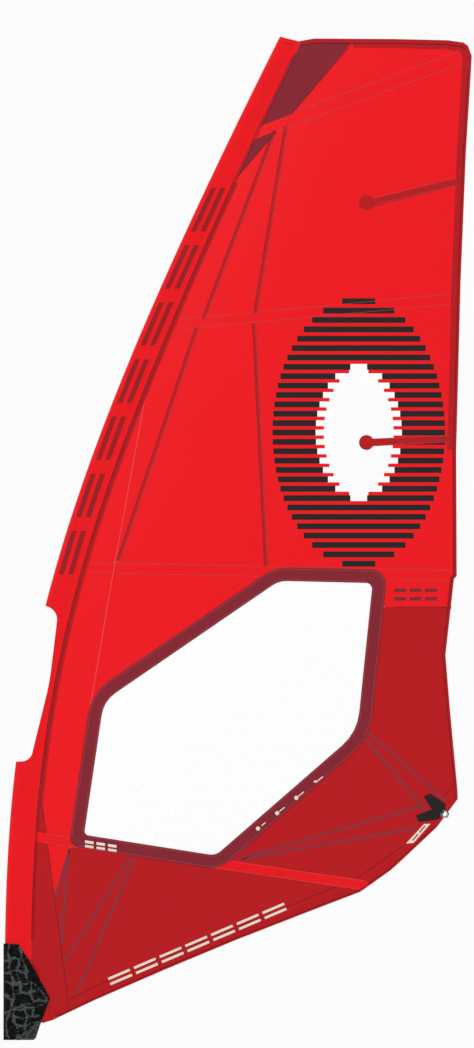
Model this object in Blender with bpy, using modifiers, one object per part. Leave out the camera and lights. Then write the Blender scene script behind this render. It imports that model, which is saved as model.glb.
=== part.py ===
"""A five square metre wave sail for windsurfing, as it hangs on its mast.

X runs from the mast to the leech, Z up the mast and -Y is the port side. The origin is on
the mast's axis at the foot of the sail. Every layer of cloth lies on one cambered surface,
folded along fixed lines into flat facets, so that layers stay parallel to each other.
"""

import math

import bmesh
import bpy
import numpy as np
from mathutils import Matrix, Vector

# The mast curve: straight at the foot, then bending aft to a steady slope.
LUFF_START = -0.022
BEND_HEIGHT = 0.035
BEND_SIZE = 1.236
BEND_SLOPE = 0.557
BEND_SHARPNESS = 3

# The camber, a shallow curve to port with its deepest point this far behind the luff.
CAMBER_DEPTH = 0.085
CAMBER_AT = 0.70
CAMBER_TAIL = 1.274
FOLD_WIDTHS = (0, 0.14, 0.32, 0.50, 0.68, 0.88, 1.06, 1.28, 1.62, 1.92)
FOLD_HEIGHTS = (0, 0.5, 0.8, 1.11, 1.45, 1.74, 2.05, 2.4, 2.8, 3.2, 3.6, 4.05)

# Layers of cloth: the film in the middle, then tapes on either side of it.
FILM = 0.0005
TAPE = 0.0005
GAP = 0.0003
BUTT = 0.0002  # half of the gap where two panels meet

# The mast sleeve.
NOSE = 0.022  # from the luff to the mast's axis, and the radius of the sleeve's nose
SLEEVE_WALL = 0.0008
SLEEVE_WIDTH = 0.108
SLEEVE_WIDTH_HEAD = 0.090
SLEEVE_LAP = 0.014
SLEEVE_FOOT = 0.24
FILM_LAP = 0.012
EDGE_CLEAR = 0.003
SLEEVE_TOP = ((1.078, 0, 4.014), (0.24, 0, 0.971))  # a point and the normal of its end
CUTTER_DEPTH = 0.2

# Battens and their tensioners.
BATTEN_LIFT = 0.0075  # from the middle of the film to a batten's axis
BATTEN_RADIUS = 0.0036
POCKET_WALL = 0.0007
POCKET_TOP = 0.0062  # half of the tunnel's flat top
POCKET_SLOPE = 0.0125  # from the middle of the tunnel to the foot of its side
MINI_LIFT = 0.0040
MINI_RADIUS = 0.0021
POCKET_LIFT = 2 * BATTEN_LIFT - 0.0035  # from the film's face to the tunnel's roof
POCKET_BACK = 0.0012  # from the end of a pocket to its housing
BATTEN_INSET = 0.010
MINI_POCKET_LIFT = 2 * MINI_LIFT - 0.0015
MINI_POCKET_TOP = MINI_RADIUS + 0.0018
MINI_POCKET_SLOPE = 0.0085
MINI_INSET = 0.012
HOUSING = (0.050, 0.0145, 0.018)  # length, height above the film and width
HOUSING_BORE = 0.0056
HOUSING_WALL = 0.0045
SHANK_RADIUS = 0.0020
SHANK_LENGTH = 0.030
HEAD_RADIUS = 0.0038
CUP_RADIUS = 0.0052
CUP_ENDS = (-0.044, -0.0335, -0.018)  # mouth, shoulder and back, from the leech end
CUP_PLAY = 0.0005
BATTEN_STOP = -0.034
THREAD_BORE = 0.0024

# The clew, where two rings take the outhaul.
CLEW = (1.741, 0.904)
CLEW_NOTCH = 0.0145
RING_CENTRES = {"port": (1.736, 0.905), "starboard": (1.7425, 0.9035)}
RING_RADIUS = 0.01275
RING_WIRE = 0.00225
RING_CLEAR = 0.0032  # from the webbing's face to a ring's middle
CLEW_OUT = Vector((0.803, -0.595))  # square to the clew's edge
KEEPER = (0.0033, 0.0045, 0.0040)  # inner radius, outer radius and depth of its feet
KEEPER_WIDTH = 0.008
WEBBING = 0.0015

# The tack, where a swinging block takes the downhaul.
TACK_X = 0.054
PIVOT_Z = 0.092
BLOCK_HALF = 0.022
BLOCK_DEPTH = 0.010
CHEEK = 0.003
SHEAVE_RADIUS = 0.010
SHEAVE_WIDTH = 0.012
SHEAVE_DROP = 0.027
AXLE_RADIUS = 0.0024
LOOP_RADIUS = 0.0071
STRAP = 0.0014
STRAP_TOP = 0.108
STRAP_BOTTOM = 0.020
STRAP_WIDTH = 0.034
BLOCK_LEVELS = (0.003, -0.0135, -0.033)  # top of the head, under side of it, foot of the cheeks
AXLE_PROUD = 0.0008
SHEAVE_PLAY = 0.0004
SHEAVE_GAP = 0.0005
GROOVE = (0.0065, 0.002, 0.0045)  # radius and half width of its floor, half width of its lip

# The padded fairing over the tack.
FAIRING_NOSE = 0.0263
FAIRING_WALL = 0.003
FAIRING_STEP = 0.0045
FAIRING_TAIL = 0.118
FAIRING_EDGE = 0.0006
FAIRING_LAP = 0.0014
FAIRING_CHANGE = (0.22, 0.36)  # heights between which it closes onto the sleeve
FAIRING_COLUMNS = (-0.0255, -0.023, -0.018, -0.010, 0, 0.020, 0.040, 0.060, 0.078, 0.092, 0.104,
                   0.118, 0.135)  # fmt: skip
FAIRING_ROWS = (0.06, 0.14, 0.22, 0.25, 0.28, 0.31, 0.34, 0.36)
FAIRING = (
    (-FAIRING_NOSE, 0), (0.093, 0), (0.103, 0.007), (0.125, 0.074), (0.159, 0.168),
    (0.080, 0.313), (0.046, 0.364), (0.036, 0.382), (-FAIRING_NOSE, 0.386),
)  # fmt: skip

# Edges of the sail, as (x, z) from the head round to the tack.
HEAD = ((1.160, 3.996), (1.217, 4.006), (1.540, 4.004), (1.752, 3.999))
HEAD_CORNER = ((1.814, 3.990), (1.832, 3.977), (1.847, 3.937))
LEECH = (
    (1.844, 3.88), (1.824, 3.56), (1.802, 3.02), (1.785, 2.36), (1.787, 1.856),
    (1.776, 1.844), (1.742, 1.540), (1.760, 1.320), (1.790, 1.000), (1.791, 0.964),
)  # fmt: skip
FOOT = (
    (1.708, 0.852), (1.568, 0.720), (1.524, 0.680), (1.412, 0.600), (1.400, 0.592),
    (1.212, 0.520), (0.904, 0.400), (0.616, 0.280), (0.340, 0.160), (0.190, 0.089),
)  # fmt: skip
TACK = ((0.172, 0.080), (0.132, 0.068), (0.108, 0.075), (0.090, 0.115), (0.036, 0.115))
TACK_TONGUE = ((0.036, 0.220), (0.074, 0.235))

# Boom cut-out corners as (x, z, radius).
CUT_OUT = ((-0.3, 1.100, 0), (-0.3, 1.745, 0), (0.195, 1.735, 0.055), (0.158, 1.430, 0.8),
           (0.081, 1.116, 0.045))  # fmt: skip

# Window frame corners as (x, z, outer radius, inner radius).
WINDOW = (
    (1.060, 1.891, 0.19, 0.10), (1.510, 1.880, 0.06, 0.024), (1.440, 1.204, 0.26, 0.20),
    (0.839, 0.681, 0.12, 0.055), (0.235, 0.776, 0.04, 0.018), (0.325, 1.387, 0.20, 0.13),
)  # fmt: skip
FRAME_BAND = 0.054
FRAME_LAP = 0.012  # from the frame's outer edge to the edge of the window film

# Tapes along the edges, and the leech end of the band over the foot batten.
LEECH_TAPE = 0.016
FOOT_TAPE = 0.028
BAND_END = (1.335, 0.6306)

# The head cap that seats the mast's tip, as (along, radius) down its outer side.
CAP_HEIGHT = 3.93
CAP_PROFILE = ((-0.016, 0), (-0.016, 0.0150), (0.024, 0.0160), (0.024, 0.0120), (0, 0.0120), (0, 0))

# Battens as (luff end, leech end, pocket width).
BATTENS = (
    ((0.988, 3.632), (1.816, 3.936), 0.044),
    ((0.634, 2.859), (1.768, 2.964), 0.040),
    ((0.288, 1.890), (1.775, 1.858), 0.040),
    ((0.099, 0.814), (1.420, 0.618), 0.042),
)
MINI_BATTENS = (
    ((1.425, 3.349), (1.794, 3.434), 0.028),
    ((1.424, 2.390), (1.762, 2.405), 0.026),
)

# Seams that part the panels, each as two points on its line.
BATTEN_SEAMS = [(start, end) for start, end, _ in BATTENS]
UPPER_AFT = ((0.980, 2.908), (1.108, 3.648))
UPPER_FORE = ((0.772, 2.892), (1.060, 3.632))
MIDDLE_AFT = ((1.024, 1.892), (0.976, 2.864))
MIDDLE_FORE = ((0.432, 1.916), (0.748, 2.844))
LUFF_UPPER = ((0.420, 1.912), (0.552, 2.632))
LUFF_LOWER = ((0.258, 0.816), (0.428, 1.912))
PATCH_SEAM = ((1.50, 1.732), (1.76, 1.732))
TACK_SEAM = ((0.236, 0.125), (0.144, 0.832))
GORE_SEAM = ((0.178, 0.564), (0.240, 0.768))

COLOURS = {
    "red_film": ((0.86, 0.012, 0.018), 0.35, 0),
    "dark_film": ((0.48, 0.012, 0.018), 0.4, 0),
    "maroon_tape": ((0.26, 0.026, 0.042), 0.7, 0),
    "clear_film": ((0.85, 0.88, 0.9), 0.08, 0),
    "black_webbing": ((0.018, 0.016, 0.017), 0.85, 0),
    "black_plastic": ((0.02, 0.02, 0.02), 0.45, 0),
    "fibreglass": ((0.75, 0.72, 0.6), 0.4, 0),
    "steel": ((0.6, 0.6, 0.6), 0.25, 1),
    "padding": ((0.03, 0.03, 0.032), 0.8, 0),
}


def start_scene():
    for obj in list(bpy.data.objects):
        bpy.data.objects.remove(obj)
    found = {}
    for name in ("windsurf_sail", "cutters"):
        found[name] = bpy.data.collections.new(name)
        bpy.context.scene.collection.children.link(found[name])
    return found


COLLECTIONS = start_scene()


def material(name):
    found = bpy.data.materials.get(name)
    if found is None:
        colour, roughness, metallic = COLOURS[name]
        found = bpy.data.materials.new(name)
        found.use_nodes = True
        shader = found.node_tree.nodes["Principled BSDF"]
        shader.inputs["Base Color"].default_value = (*colour, 1)
        shader.inputs["Roughness"].default_value = roughness
        shader.inputs["Metallic"].default_value = metallic
    return found


def place(name, mesh, finish, parent=None):
    """A named piece of the sail from a mesh, in the frame of its parent."""
    obj = bpy.data.objects.new(name, mesh)
    COLLECTIONS["windsurf_sail"].objects.link(obj)
    mesh.materials.clear()
    mesh.materials.append(material(finish))
    obj.parent = parent
    return obj


def mesh_of(bm):
    mesh = bpy.data.meshes.new("mesh")
    bm.to_mesh(mesh)
    bm.free()
    return mesh


def marker(name, matrix):
    """An empty that carries the pieces of a fitting."""
    empty = bpy.data.objects.new(name, None)
    empty.matrix_world = matrix
    COLLECTIONS["windsurf_sail"].objects.link(empty)
    return empty


def as_cutter(obj):
    COLLECTIONS["windsurf_sail"].objects.unlink(obj)
    COLLECTIONS["cutters"].objects.link(obj)
    obj.hide_render = True
    obj.display_type = "WIRE"
    return obj


def boolean(obj, cutter, operation="DIFFERENCE"):
    modifier = obj.modifiers.new(operation.lower(), "BOOLEAN")
    modifier.operation = operation
    modifier.object = cutter
    return obj


# --- the surface of the sail ---


def luff_curve(z):
    bend = BEND_SLOPE * max(z - BEND_HEIGHT, 0) / BEND_SIZE
    return LUFF_START + BEND_SIZE * ((1 + bend**BEND_SHARPNESS) ** (1 / BEND_SHARPNESS) - 1)


def camber(u):
    span = CAMBER_AT if u < CAMBER_AT else CAMBER_TAIL
    return CAMBER_DEPTH * (1 - ((u - CAMBER_AT) / span) ** 2)


LUFF_FOLDS = [luff_curve(z) for z in FOLD_HEIGHTS]
CAMBER_FOLDS = [camber(u) for u in FOLD_WIDTHS]


def luff_x(z):
    return float(np.interp(z, FOLD_HEIGHTS, LUFF_FOLDS))


def camber_y(u):
    """The folded camber, measured so that it is 0 on the mast's axis."""
    axis = np.interp(NOSE, FOLD_WIDTHS, CAMBER_FOLDS)
    return float(axis - np.interp(u, FOLD_WIDTHS, CAMBER_FOLDS))


def sail_y(x, z):
    return camber_y(x - luff_x(z))


def seam_x(z):
    """The aft edge of the mast sleeve."""
    bands = (0, FOLD_HEIGHTS[8], FOLD_HEIGHTS[-1])
    widths = (SLEEVE_WIDTH, SLEEVE_WIDTH, SLEEVE_WIDTH_HEAD)
    return luff_x(z) + float(np.interp(z, bands, widths))


def on_sail(x, z, lift=0):
    return Vector((x, sail_y(x, z) + lift, z))


def fold_points(start, end):
    """Points along a straight seam, with one wherever it crosses a fold."""
    (x0, z0), (x1, z1) = start, end
    stops = {0.0, 1.0}
    if abs(z1 - z0) > 1e-9:
        stops |= {(z - z0) / (z1 - z0) for z in FOLD_HEIGHTS}
    stops = sorted(t for t in stops if 0 <= t <= 1)
    found = set(stops)
    for low, high in zip(stops, stops[1:]):
        widths = [
            x0 + (x1 - x0) * t - luff_x(z0 + (z1 - z0) * t) for t in (low, high)
        ]
        for fold in FOLD_WIDTHS:
            share = (fold - widths[0]) / (widths[1] - widths[0])
            if 0 < share < 1:
                found.add(low + share * (high - low))
    return [(x0 + (x1 - x0) * t, z0 + (z1 - z0) * t) for t in sorted(found)]


# --- outlines ---


def arc(centre, radius, first, last, steps):
    """Points on a circle, between two angles in degrees."""
    turns = [math.radians(first + (last - first) * i / steps) for i in range(steps + 1)]
    return [(centre[0] + radius * math.cos(t), centre[1] + radius * math.sin(t)) for t in turns]


def rounded(corners, step=12):
    """The outline through corners of (x, z, radius), each rounded by its arc."""
    points = []
    for i, (x, z, radius) in enumerate(corners):
        here = Vector((x, z))
        before = (Vector(corners[i - 1][:2]) - here).normalized()
        after = (Vector(corners[(i + 1) % len(corners)][:2]) - here).normalized()
        if not radius:
            points.append((x, z))
            continue
        half = before.angle(after) / 2
        centre = here + (before + after).normalized() * radius / math.sin(half)
        reach = radius / math.tan(half)
        first, last = here + before * reach - centre, here + after * reach - centre
        turn = first.angle_signed(last)
        steps = max(2, round(math.degrees(abs(turn)) / step))
        for k in range(steps + 1):
            spoke = first.copy()
            spoke.rotate(Matrix.Rotation(-turn * k / steps, 2))
            points.append(tuple(centre + spoke))
    return points


def shifted(points, distance, closed=False):
    """A line moved to its right by a distance, with mitred corners."""
    found = []
    last = len(points) - 1
    for i, point in enumerate(points):
        here = Vector(point[:2])
        before = Vector(points[i - 1][:2]) if i or closed else None
        after = Vector(points[(i + 1) % len(points)][:2]) if i < last or closed else None
        ways = []
        if before is not None:
            ways.append((here - before).normalized())
        if after is not None:
            ways.append((after - here).normalized())
        rights = [Vector((way.y, -way.x)) for way in ways]
        side = sum(rights, Vector((0, 0))).normalized()
        found.append(tuple(here + side * distance / side.dot(rights[0])))
    return found


def ribbon(points, width):
    """A strip along a line, lying to its right."""
    return list(points) + shifted(points, width)[::-1]


def strip(start, end, width):
    """A straight strip with the line from start to end along its middle."""
    return ribbon(shifted((start, end), -width / 2), width)


def window_outline(inset, inner=False):
    """The window frame's outline, moved in from its outer edge."""
    corners = shifted(WINDOW, inset, closed=True)
    radii = [corner[3] if inner else max(corner[2] - inset, 0.01) for corner in WINDOW]
    return rounded([(x, z, radius) for (x, z), radius in zip(corners, radii)])


def film_outline():
    heights = [0.235, *FOLD_HEIGHTS[1:-1], 3.985]
    luff = [(seam_x(z) - FILM_LAP, z) for z in heights]
    notch = arc(CLEW, CLEW_NOTCH, 36, 251, 8)
    return luff + [*HEAD, *HEAD_CORNER, *LEECH, *notch, *FOOT, *TACK, TACK_TONGUE[0]]


# --- cloth ---


def flat(*outlines):
    """One flat sheet in the XZ plane, whose later outlines are holes."""
    curve = bpy.data.curves.new("outline", "CURVE")
    curve.dimensions = "2D"
    curve.fill_mode = "BOTH"
    for outline in outlines:
        spline = curve.splines.new("POLY")
        spline.points.add(len(outline) - 1)
        for point, (x, z) in zip(spline.points, outline):
            point.co = (x, z, 0, 1)
        spline.use_cyclic_u = True
    obj = bpy.data.objects.new("outline", curve)
    COLLECTIONS["cutters"].objects.link(obj)
    bpy.context.view_layer.update()
    graph = bpy.context.evaluated_depsgraph_get()
    mesh = bpy.data.meshes.new_from_object(obj.evaluated_get(graph))
    bpy.data.objects.remove(obj)
    bm = bmesh.new()
    bm.from_mesh(mesh)
    bmesh.ops.remove_doubles(bm, verts=bm.verts, dist=1e-6)
    bmesh.ops.rotate(bm, verts=bm.verts, matrix=Matrix.Rotation(math.pi / 2, 3, "X"))
    return bm


def cut(bm, point, normal, clear=False, faces=None):
    """A cut by a plane, which can clear away the side that the normal points to."""
    faces = bm.faces[:] if faces is None else faces
    edges = {edge for face in faces for edge in face.edges}
    verts = {vert for face in faces for vert in face.verts}
    bmesh.ops.bisect_plane(
        bm, geom=[*verts, *edges, *faces], dist=1e-6, plane_co=point, plane_no=normal,
        clear_outer=clear,
    )  # fmt: skip


def trim(bm, seams):
    """Keeps what lies to the left of each seam, less half of the gap between panels."""
    for (x0, z0), (x1, z1) in seams:
        right = Vector((z1 - z0, 0, x0 - x1)).normalized()
        cut(bm, Vector((x0, 0, z0)) - right * BUTT, right, clear=True)


def fold(bm):
    """Cuts a flat sheet along every fold of the sail's surface."""
    for z in FOLD_HEIGHTS[1:-1]:
        cut(bm, (0, 0, z), (0, 0, 1))
    for low, high in zip(FOLD_HEIGHTS, FOLD_HEIGHTS[1:]):
        way = Vector((luff_x(high) - luff_x(low), 0, high - low))
        across = Vector((way.z, 0, -way.x)).normalized()
        for width in FOLD_WIDTHS[1:-1]:
            band = [f for f in bm.faces if low < f.calc_center_median().z < high]
            if band:
                cut(bm, (luff_x(low) + width, 0, low), across, faces=band)


def thicken(bm, thickness):
    """Gives a sheet its thickness, along Y."""
    made = bmesh.ops.extrude_face_region(bm, geom=bm.faces[:])["geom"]
    verts = [item for item in made if isinstance(item, bmesh.types.BMVert)]
    bmesh.ops.translate(bm, verts=verts, vec=(0, thickness, 0))
    bmesh.ops.recalc_face_normals(bm, faces=bm.faces)


def drape(bm, profile, thickness):
    """Folds a flat sheet onto the sail, profile(x, z) away from the middle of the film."""
    fold(bm)
    for vert in bm.verts:
        vert.co.y = sail_y(vert.co.x, vert.co.z) + profile(vert.co.x, vert.co.z)
    bmesh.ops.dissolve_limit(bm, angle_limit=1e-4, verts=bm.verts, edges=bm.edges)
    bmesh.ops.triangulate(bm, faces=bm.faces)
    thicken(bm, thickness)


def layer(number):
    """How far the inner face of a layer lies from the middle of the film."""
    return FILM / 2 + GAP + (number - 1) * (TAPE + GAP)


def panel(name, seams, finish, hole=True):
    """A panel of film: the part of the sail to the left of its seams."""
    outlines = [film_outline()] + ([window_outline(FRAME_LAP)] if hole else [])
    bm = flat(*outlines)
    trim(bm, seams)
    drape(bm, lambda x, z: -FILM / 2, FILM)
    return place(name, mesh_of(bm), finish)


def tape(name, outlines, finish, number=1, thickness=TAPE):
    """A piece of cloth or tape on the port side."""
    bm = flat(*outlines)
    drape(bm, lambda x, z: -layer(number) - thickness, thickness)
    return place(name, mesh_of(bm), finish)


def back(seam):
    return seam[::-1]


def make_panels():
    one, two, three, four = BATTEN_SEAMS
    panels = {
        "head_panel": (one,),
        "upper_panel_front": (back(one), two, UPPER_FORE),
        "upper_panel_mid": (back(one), two, back(UPPER_FORE), UPPER_AFT),
        "upper_panel_aft": (back(one), two, back(UPPER_AFT)),
        "middle_panel_front": (back(two), three, MIDDLE_FORE, back(LUFF_UPPER)),
        "middle_panel_mid": (back(two), three, back(MIDDLE_FORE), MIDDLE_AFT),
        "middle_panel_aft": (back(two), three, back(MIDDLE_AFT)),
        "luff_panel_upper": (back(two), three, LUFF_UPPER),
        "luff_panel_lower": (back(three), four, LUFF_LOWER, back(TACK_SEAM)),
        "window_gore": (back(three), back(LUFF_LOWER), ((0.30, 1.30), (1.15, 1.86))),
        "leech_patch": (back(three), PATCH_SEAM, ((1.2, 2.0), (1.2, 1.0))),
    }
    for name, seams in panels.items():
        panel(name, seams, "red_film")
    panel("leech_panel", (back(PATCH_SEAM), four, ((0.9, 0.9), (0.7, 0.6))), "dark_film")
    panel("foot_panel", (back(four), back(TACK_SEAM), back(GORE_SEAM)), "dark_film")
    panel("tack_gore", (back(four), back(TACK_SEAM), GORE_SEAM), "red_film")
    panel("tack_panel", (TACK_SEAM,), "dark_film")


def make_window():
    bm = flat(window_outline(FRAME_LAP + 2 * BUTT))
    drape(bm, lambda x, z: -FILM / 2, FILM)
    place("window_film", mesh_of(bm), "clear_film")
    outlines = (window_outline(0), window_outline(FRAME_BAND, inner=True))
    tape("window_frame", outlines, "maroon_tape", number=2)


def by_sleeve(z):
    """The point at this height just clear of the sleeve's aft edge."""
    return seam_x(z) + EDGE_CLEAR, z


def make_tapes():
    upper = [by_sleeve(3.950), (1.353, 3.974), (1.126, 3.704), by_sleeve(3.657)]
    lower = [by_sleeve(3.601), (1.070, 3.638), by_sleeve(3.445)]
    tape("head_patch_upper", [upper], "maroon_tape")
    tape("head_patch_lower", [lower], "maroon_tape")
    tape("leech_tape", [ribbon([*HEAD_CORNER[1:], *LEECH], LEECH_TAPE)], "dark_film")
    tape("foot_tape", [ribbon(FOOT, FOOT_TAPE)], "dark_film")
    start, _, width = BATTENS[3]
    x, z = by_sleeve(start[1])
    tape("foot_batten_band", [strip((x + width / 4, z), BAND_END, width)], "red_film")


def make_sleeve():
    """The mast sleeve: a nose round the mast, then two walls that meet on the film."""
    clear = FILM / 2 + GAP
    heights = [SLEEVE_FOOT, *FOLD_HEIGHTS[1:]]
    inner = NOSE - SLEEVE_WALL
    nose = arc((0, 0), inner, -100, -260, 10)  # leaves the walls tangent to the nose
    bm = bmesh.new()
    rings = []
    for z in heights:
        axis, tail = luff_x(z) + NOSE, seam_x(z)
        lap = tail - SLEEVE_LAP
        port = [on_sail(tail, z, -clear), on_sail(lap, z, -clear)]
        starboard = [on_sail(lap, z, clear), on_sail(tail, z, clear)]
        round_mast = [Vector((axis + x, y, z)) for x, y in nose]
        rings.append([bm.verts.new(p) for p in port + round_mast + starboard])
    for low, high in zip(rings, rings[1:]):
        for i in range(len(low) - 1):
            bm.faces.new((low[i], high[i], high[i + 1], low[i + 1]))
    cut(bm, *SLEEVE_TOP, clear=True)
    sleeve = place("luff_sleeve", mesh_of(bm), "red_film")
    wall = sleeve.modifiers.new("wall", "SOLIDIFY")
    wall.thickness = SLEEVE_WALL
    wall.offset = 1
    wall.use_even_offset = True
    cutter = flat(rounded(CUT_OUT))
    bmesh.ops.translate(cutter, verts=cutter.verts, vec=(0, -CUTTER_DEPTH / 2, 0))
    thicken(cutter, CUTTER_DEPTH)
    boolean(sleeve, as_cutter(place("boom_cut_out", mesh_of(cutter), "steel")))


# --- turned and moulded fittings ---


def turned(name, profile, finish, parent, closed=False, axis="X", steps=24):
    """A turned piece from (along, radius) points that run down its outer side."""
    bm = bmesh.new()
    verts = [bm.verts.new((radius, 0, -along)) for along, radius in profile]
    for a, b in zip(verts, verts[1:] + verts[:1] if closed else verts[1:]):
        bm.edges.new((a, b))
    obj = place(name, mesh_of(bm), finish, parent)
    screw = obj.modifiers.new("turn", "SCREW")
    screw.steps = screw.render_steps = steps
    screw.use_merge_vertices = True
    screw.merge_threshold = 1e-6
    if axis == "X":
        obj.rotation_euler = (0, -math.pi / 2, 0)
    return obj


def block(name, low, high, finish, parent=None, bevel=0):
    """A box between two corners, with bevelled edges."""
    bm = bmesh.new()
    bmesh.ops.create_cube(bm, size=1)
    low, high = Vector(low), Vector(high)
    for vert in bm.verts:
        vert.co = (low + high) / 2 + vert.co * (high - low)
    if bevel:
        bmesh.ops.bevel(bm, geom=bm.edges[:], offset=bevel, segments=2, profile=0.5,
                        affect="EDGES")  # fmt: skip
    return place(name, mesh_of(bm), finish, parent)


def rod(name, points, radius, finish):
    curve = bpy.data.curves.new(name, "CURVE")
    curve.dimensions = "3D"
    curve.bevel_depth = radius
    curve.bevel_resolution = 2
    curve.use_fill_caps = True
    spline = curve.splines.new("POLY")
    spline.points.add(len(points) - 1)
    for point, spot in zip(spline.points, points):
        point.co = (*spot, 1)
    obj = bpy.data.objects.new(name, curve)
    COLLECTIONS["windsurf_sail"].objects.link(obj)
    curve.materials.append(material(finish))
    return obj


def pocket(name, start, end, width, lift, top, slope, finish):
    """A batten pocket on the starboard side: a tunnel between two sewn flanges."""
    start, end = Vector(start), Vector(end)
    way = (end - start).normalized()
    side = Vector((-way.y, way.x))
    bm = flat(strip(start, end, width))
    for offset in (-slope, -top, top, slope):
        point = start + side * offset
        cut(bm, (point.x, 0, point.y), (side.x, 0, side.y))

    def profile(x, z):
        off = abs((Vector((x, z)) - start).dot(side))
        return layer(1) + lift * float(np.interp(off, (top, slope), (1, 0)))

    drape(bm, profile, POCKET_WALL)
    return place(name, mesh_of(bm), finish)


def toward(start, end, distance):
    """The point this far from start on the way to end."""
    start, end = Vector(start), Vector(end)
    return tuple(start + (end - start).normalized() * distance)


def pocket_start(start, end, width):
    """Where a pocket starts on its line, clear of the sleeve at both of its corners."""
    way = (Vector(end) - Vector(start)).normalized()
    x = seam_x(start[1] + width / 2) + EDGE_CLEAR + abs(way.y) * width / 2
    return toward(start, end, (x - start[0]) / way.x)


def make_tensioner(number, start, end):
    """A housing at the leech end of a pocket, with a screw that draws a cup along it."""
    near = toward(end, start, HOUSING[0])
    tail, tip = on_sail(*near), on_sail(*end)
    along = (tip - tail).normalized()
    rise = Vector((-along.z, 0, along.x)).normalized()
    out = rise.cross(along).normalized()
    if out.y < 0:
        out.negate()
    up = along.cross(out)
    frame = Matrix((along, out, up)).transposed().to_4x4()
    frame.translation = tip
    base = marker(f"tensioner_{number}_base", frame)
    length, height, width = HOUSING
    housing = block(f"tensioner_housing_{number}", (-length, layer(1), -width / 2),
                    (0, height, width / 2), "black_plastic", base, 0.0012)  # fmt: skip
    axis = marker(f"tensioner_{number}_axis", Matrix.Translation((0, BATTEN_LIFT, 0)))
    axis.parent = base
    for label, low, high, radius in (
        ("bore", -2 * length, -HOUSING_WALL, HOUSING_BORE),
        ("hole", -2 * length, length, THREAD_BORE),
    ):
        profile = ((low, 0), (low, radius), (high, radius), (high, 0))
        cutter = turned(f"tensioner_{label}_{number}", profile, "steel", axis)
        boolean(housing, as_cutter(cutter))
    head = ((-SHANK_LENGTH, 0), (-SHANK_LENGTH, SHANK_RADIUS), (0.0004, SHANK_RADIUS),
            (0.0004, HEAD_RADIUS), (0.0030, HEAD_RADIUS), (0.0030, 0.0016),
            (0.0010, 0.0016), (0.0010, 0))  # fmt: skip
    turned(f"tensioner_screw_{number}", head, "steel", axis)
    mouth, shoulder, rear = CUP_ENDS
    bore = BATTEN_RADIUS + CUP_PLAY
    cup = ((mouth, bore), (mouth, CUP_RADIUS), (rear, CUP_RADIUS), (rear, THREAD_BORE),
           (shoulder, THREAD_BORE), (shoulder, bore))  # fmt: skip
    turned(f"tensioner_cup_{number}", cup, "black_plastic", axis, closed=True)


def make_battens():
    for number, (start, end, width) in enumerate(BATTENS, 1):
        first = pocket_start(start, end, width)
        make_tensioner(number, start, end)
        pocket_end = toward(end, start, HOUSING[0] + POCKET_BACK)
        pocket(f"batten_pocket_{number}", first, pocket_end, width, POCKET_LIFT, POCKET_TOP,
               POCKET_SLOPE, "dark_film")  # fmt: skip
        stop = toward(end, start, -BATTEN_STOP)
        points = [
            on_sail(x, z, BATTEN_LIFT) for x, z in fold_points(toward(first, end, BATTEN_INSET), stop)
        ]
        rod(f"batten_{number}", points, BATTEN_RADIUS, "fibreglass")
    for number, (start, end, width) in enumerate(MINI_BATTENS, 1):
        pocket(f"mini_batten_pocket_{number}", start, end, width, MINI_POCKET_LIFT,
               MINI_POCKET_TOP, MINI_POCKET_SLOPE, "dark_film")  # fmt: skip
        span = fold_points(toward(start, end, MINI_INSET), toward(end, start, MINI_INSET))
        points = [on_sail(x, z, MINI_LIFT) for x, z in span]
        rod(f"mini_batten_{number}", points, MINI_RADIUS, "fibreglass")


def make_head_cap():
    """The seat for the mast's tip, a cup that opens down the mast."""
    z = CAP_HEIGHT
    lean = Vector((luff_x(z) - luff_x(z - 0.1), 0, 0.1)).normalized()
    turn = Vector((0, 0, 1)).rotation_difference(lean).to_matrix().to_4x4()
    seat = marker("mast_tip", Matrix.Translation((luff_x(z) + NOSE, 0, z)) @ turn)
    turned("head_cap", CAP_PROFILE, "black_plastic", seat, axis="Z")


# --- clew ---


def surface_frame(x, z, lift):
    """A frame on the sail whose Z is the clew's edge, and whose Y leaves the sail to starboard."""
    step = 0.01
    along = (on_sail(x + step, z) - on_sail(x, z)).normalized()
    climb = (on_sail(x, z + step) - on_sail(x, z)).normalized()
    out = climb.cross(along).normalized()
    edge = (on_sail(*LEECH[-1]) - on_sail(*FOOT[0])).normalized()
    up = (edge - out * edge.dot(out)).normalized()
    frame = Matrix((out.cross(up), out, up)).transposed().to_4x4()
    frame.translation = on_sail(x, z) + out * lift
    return frame


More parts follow.
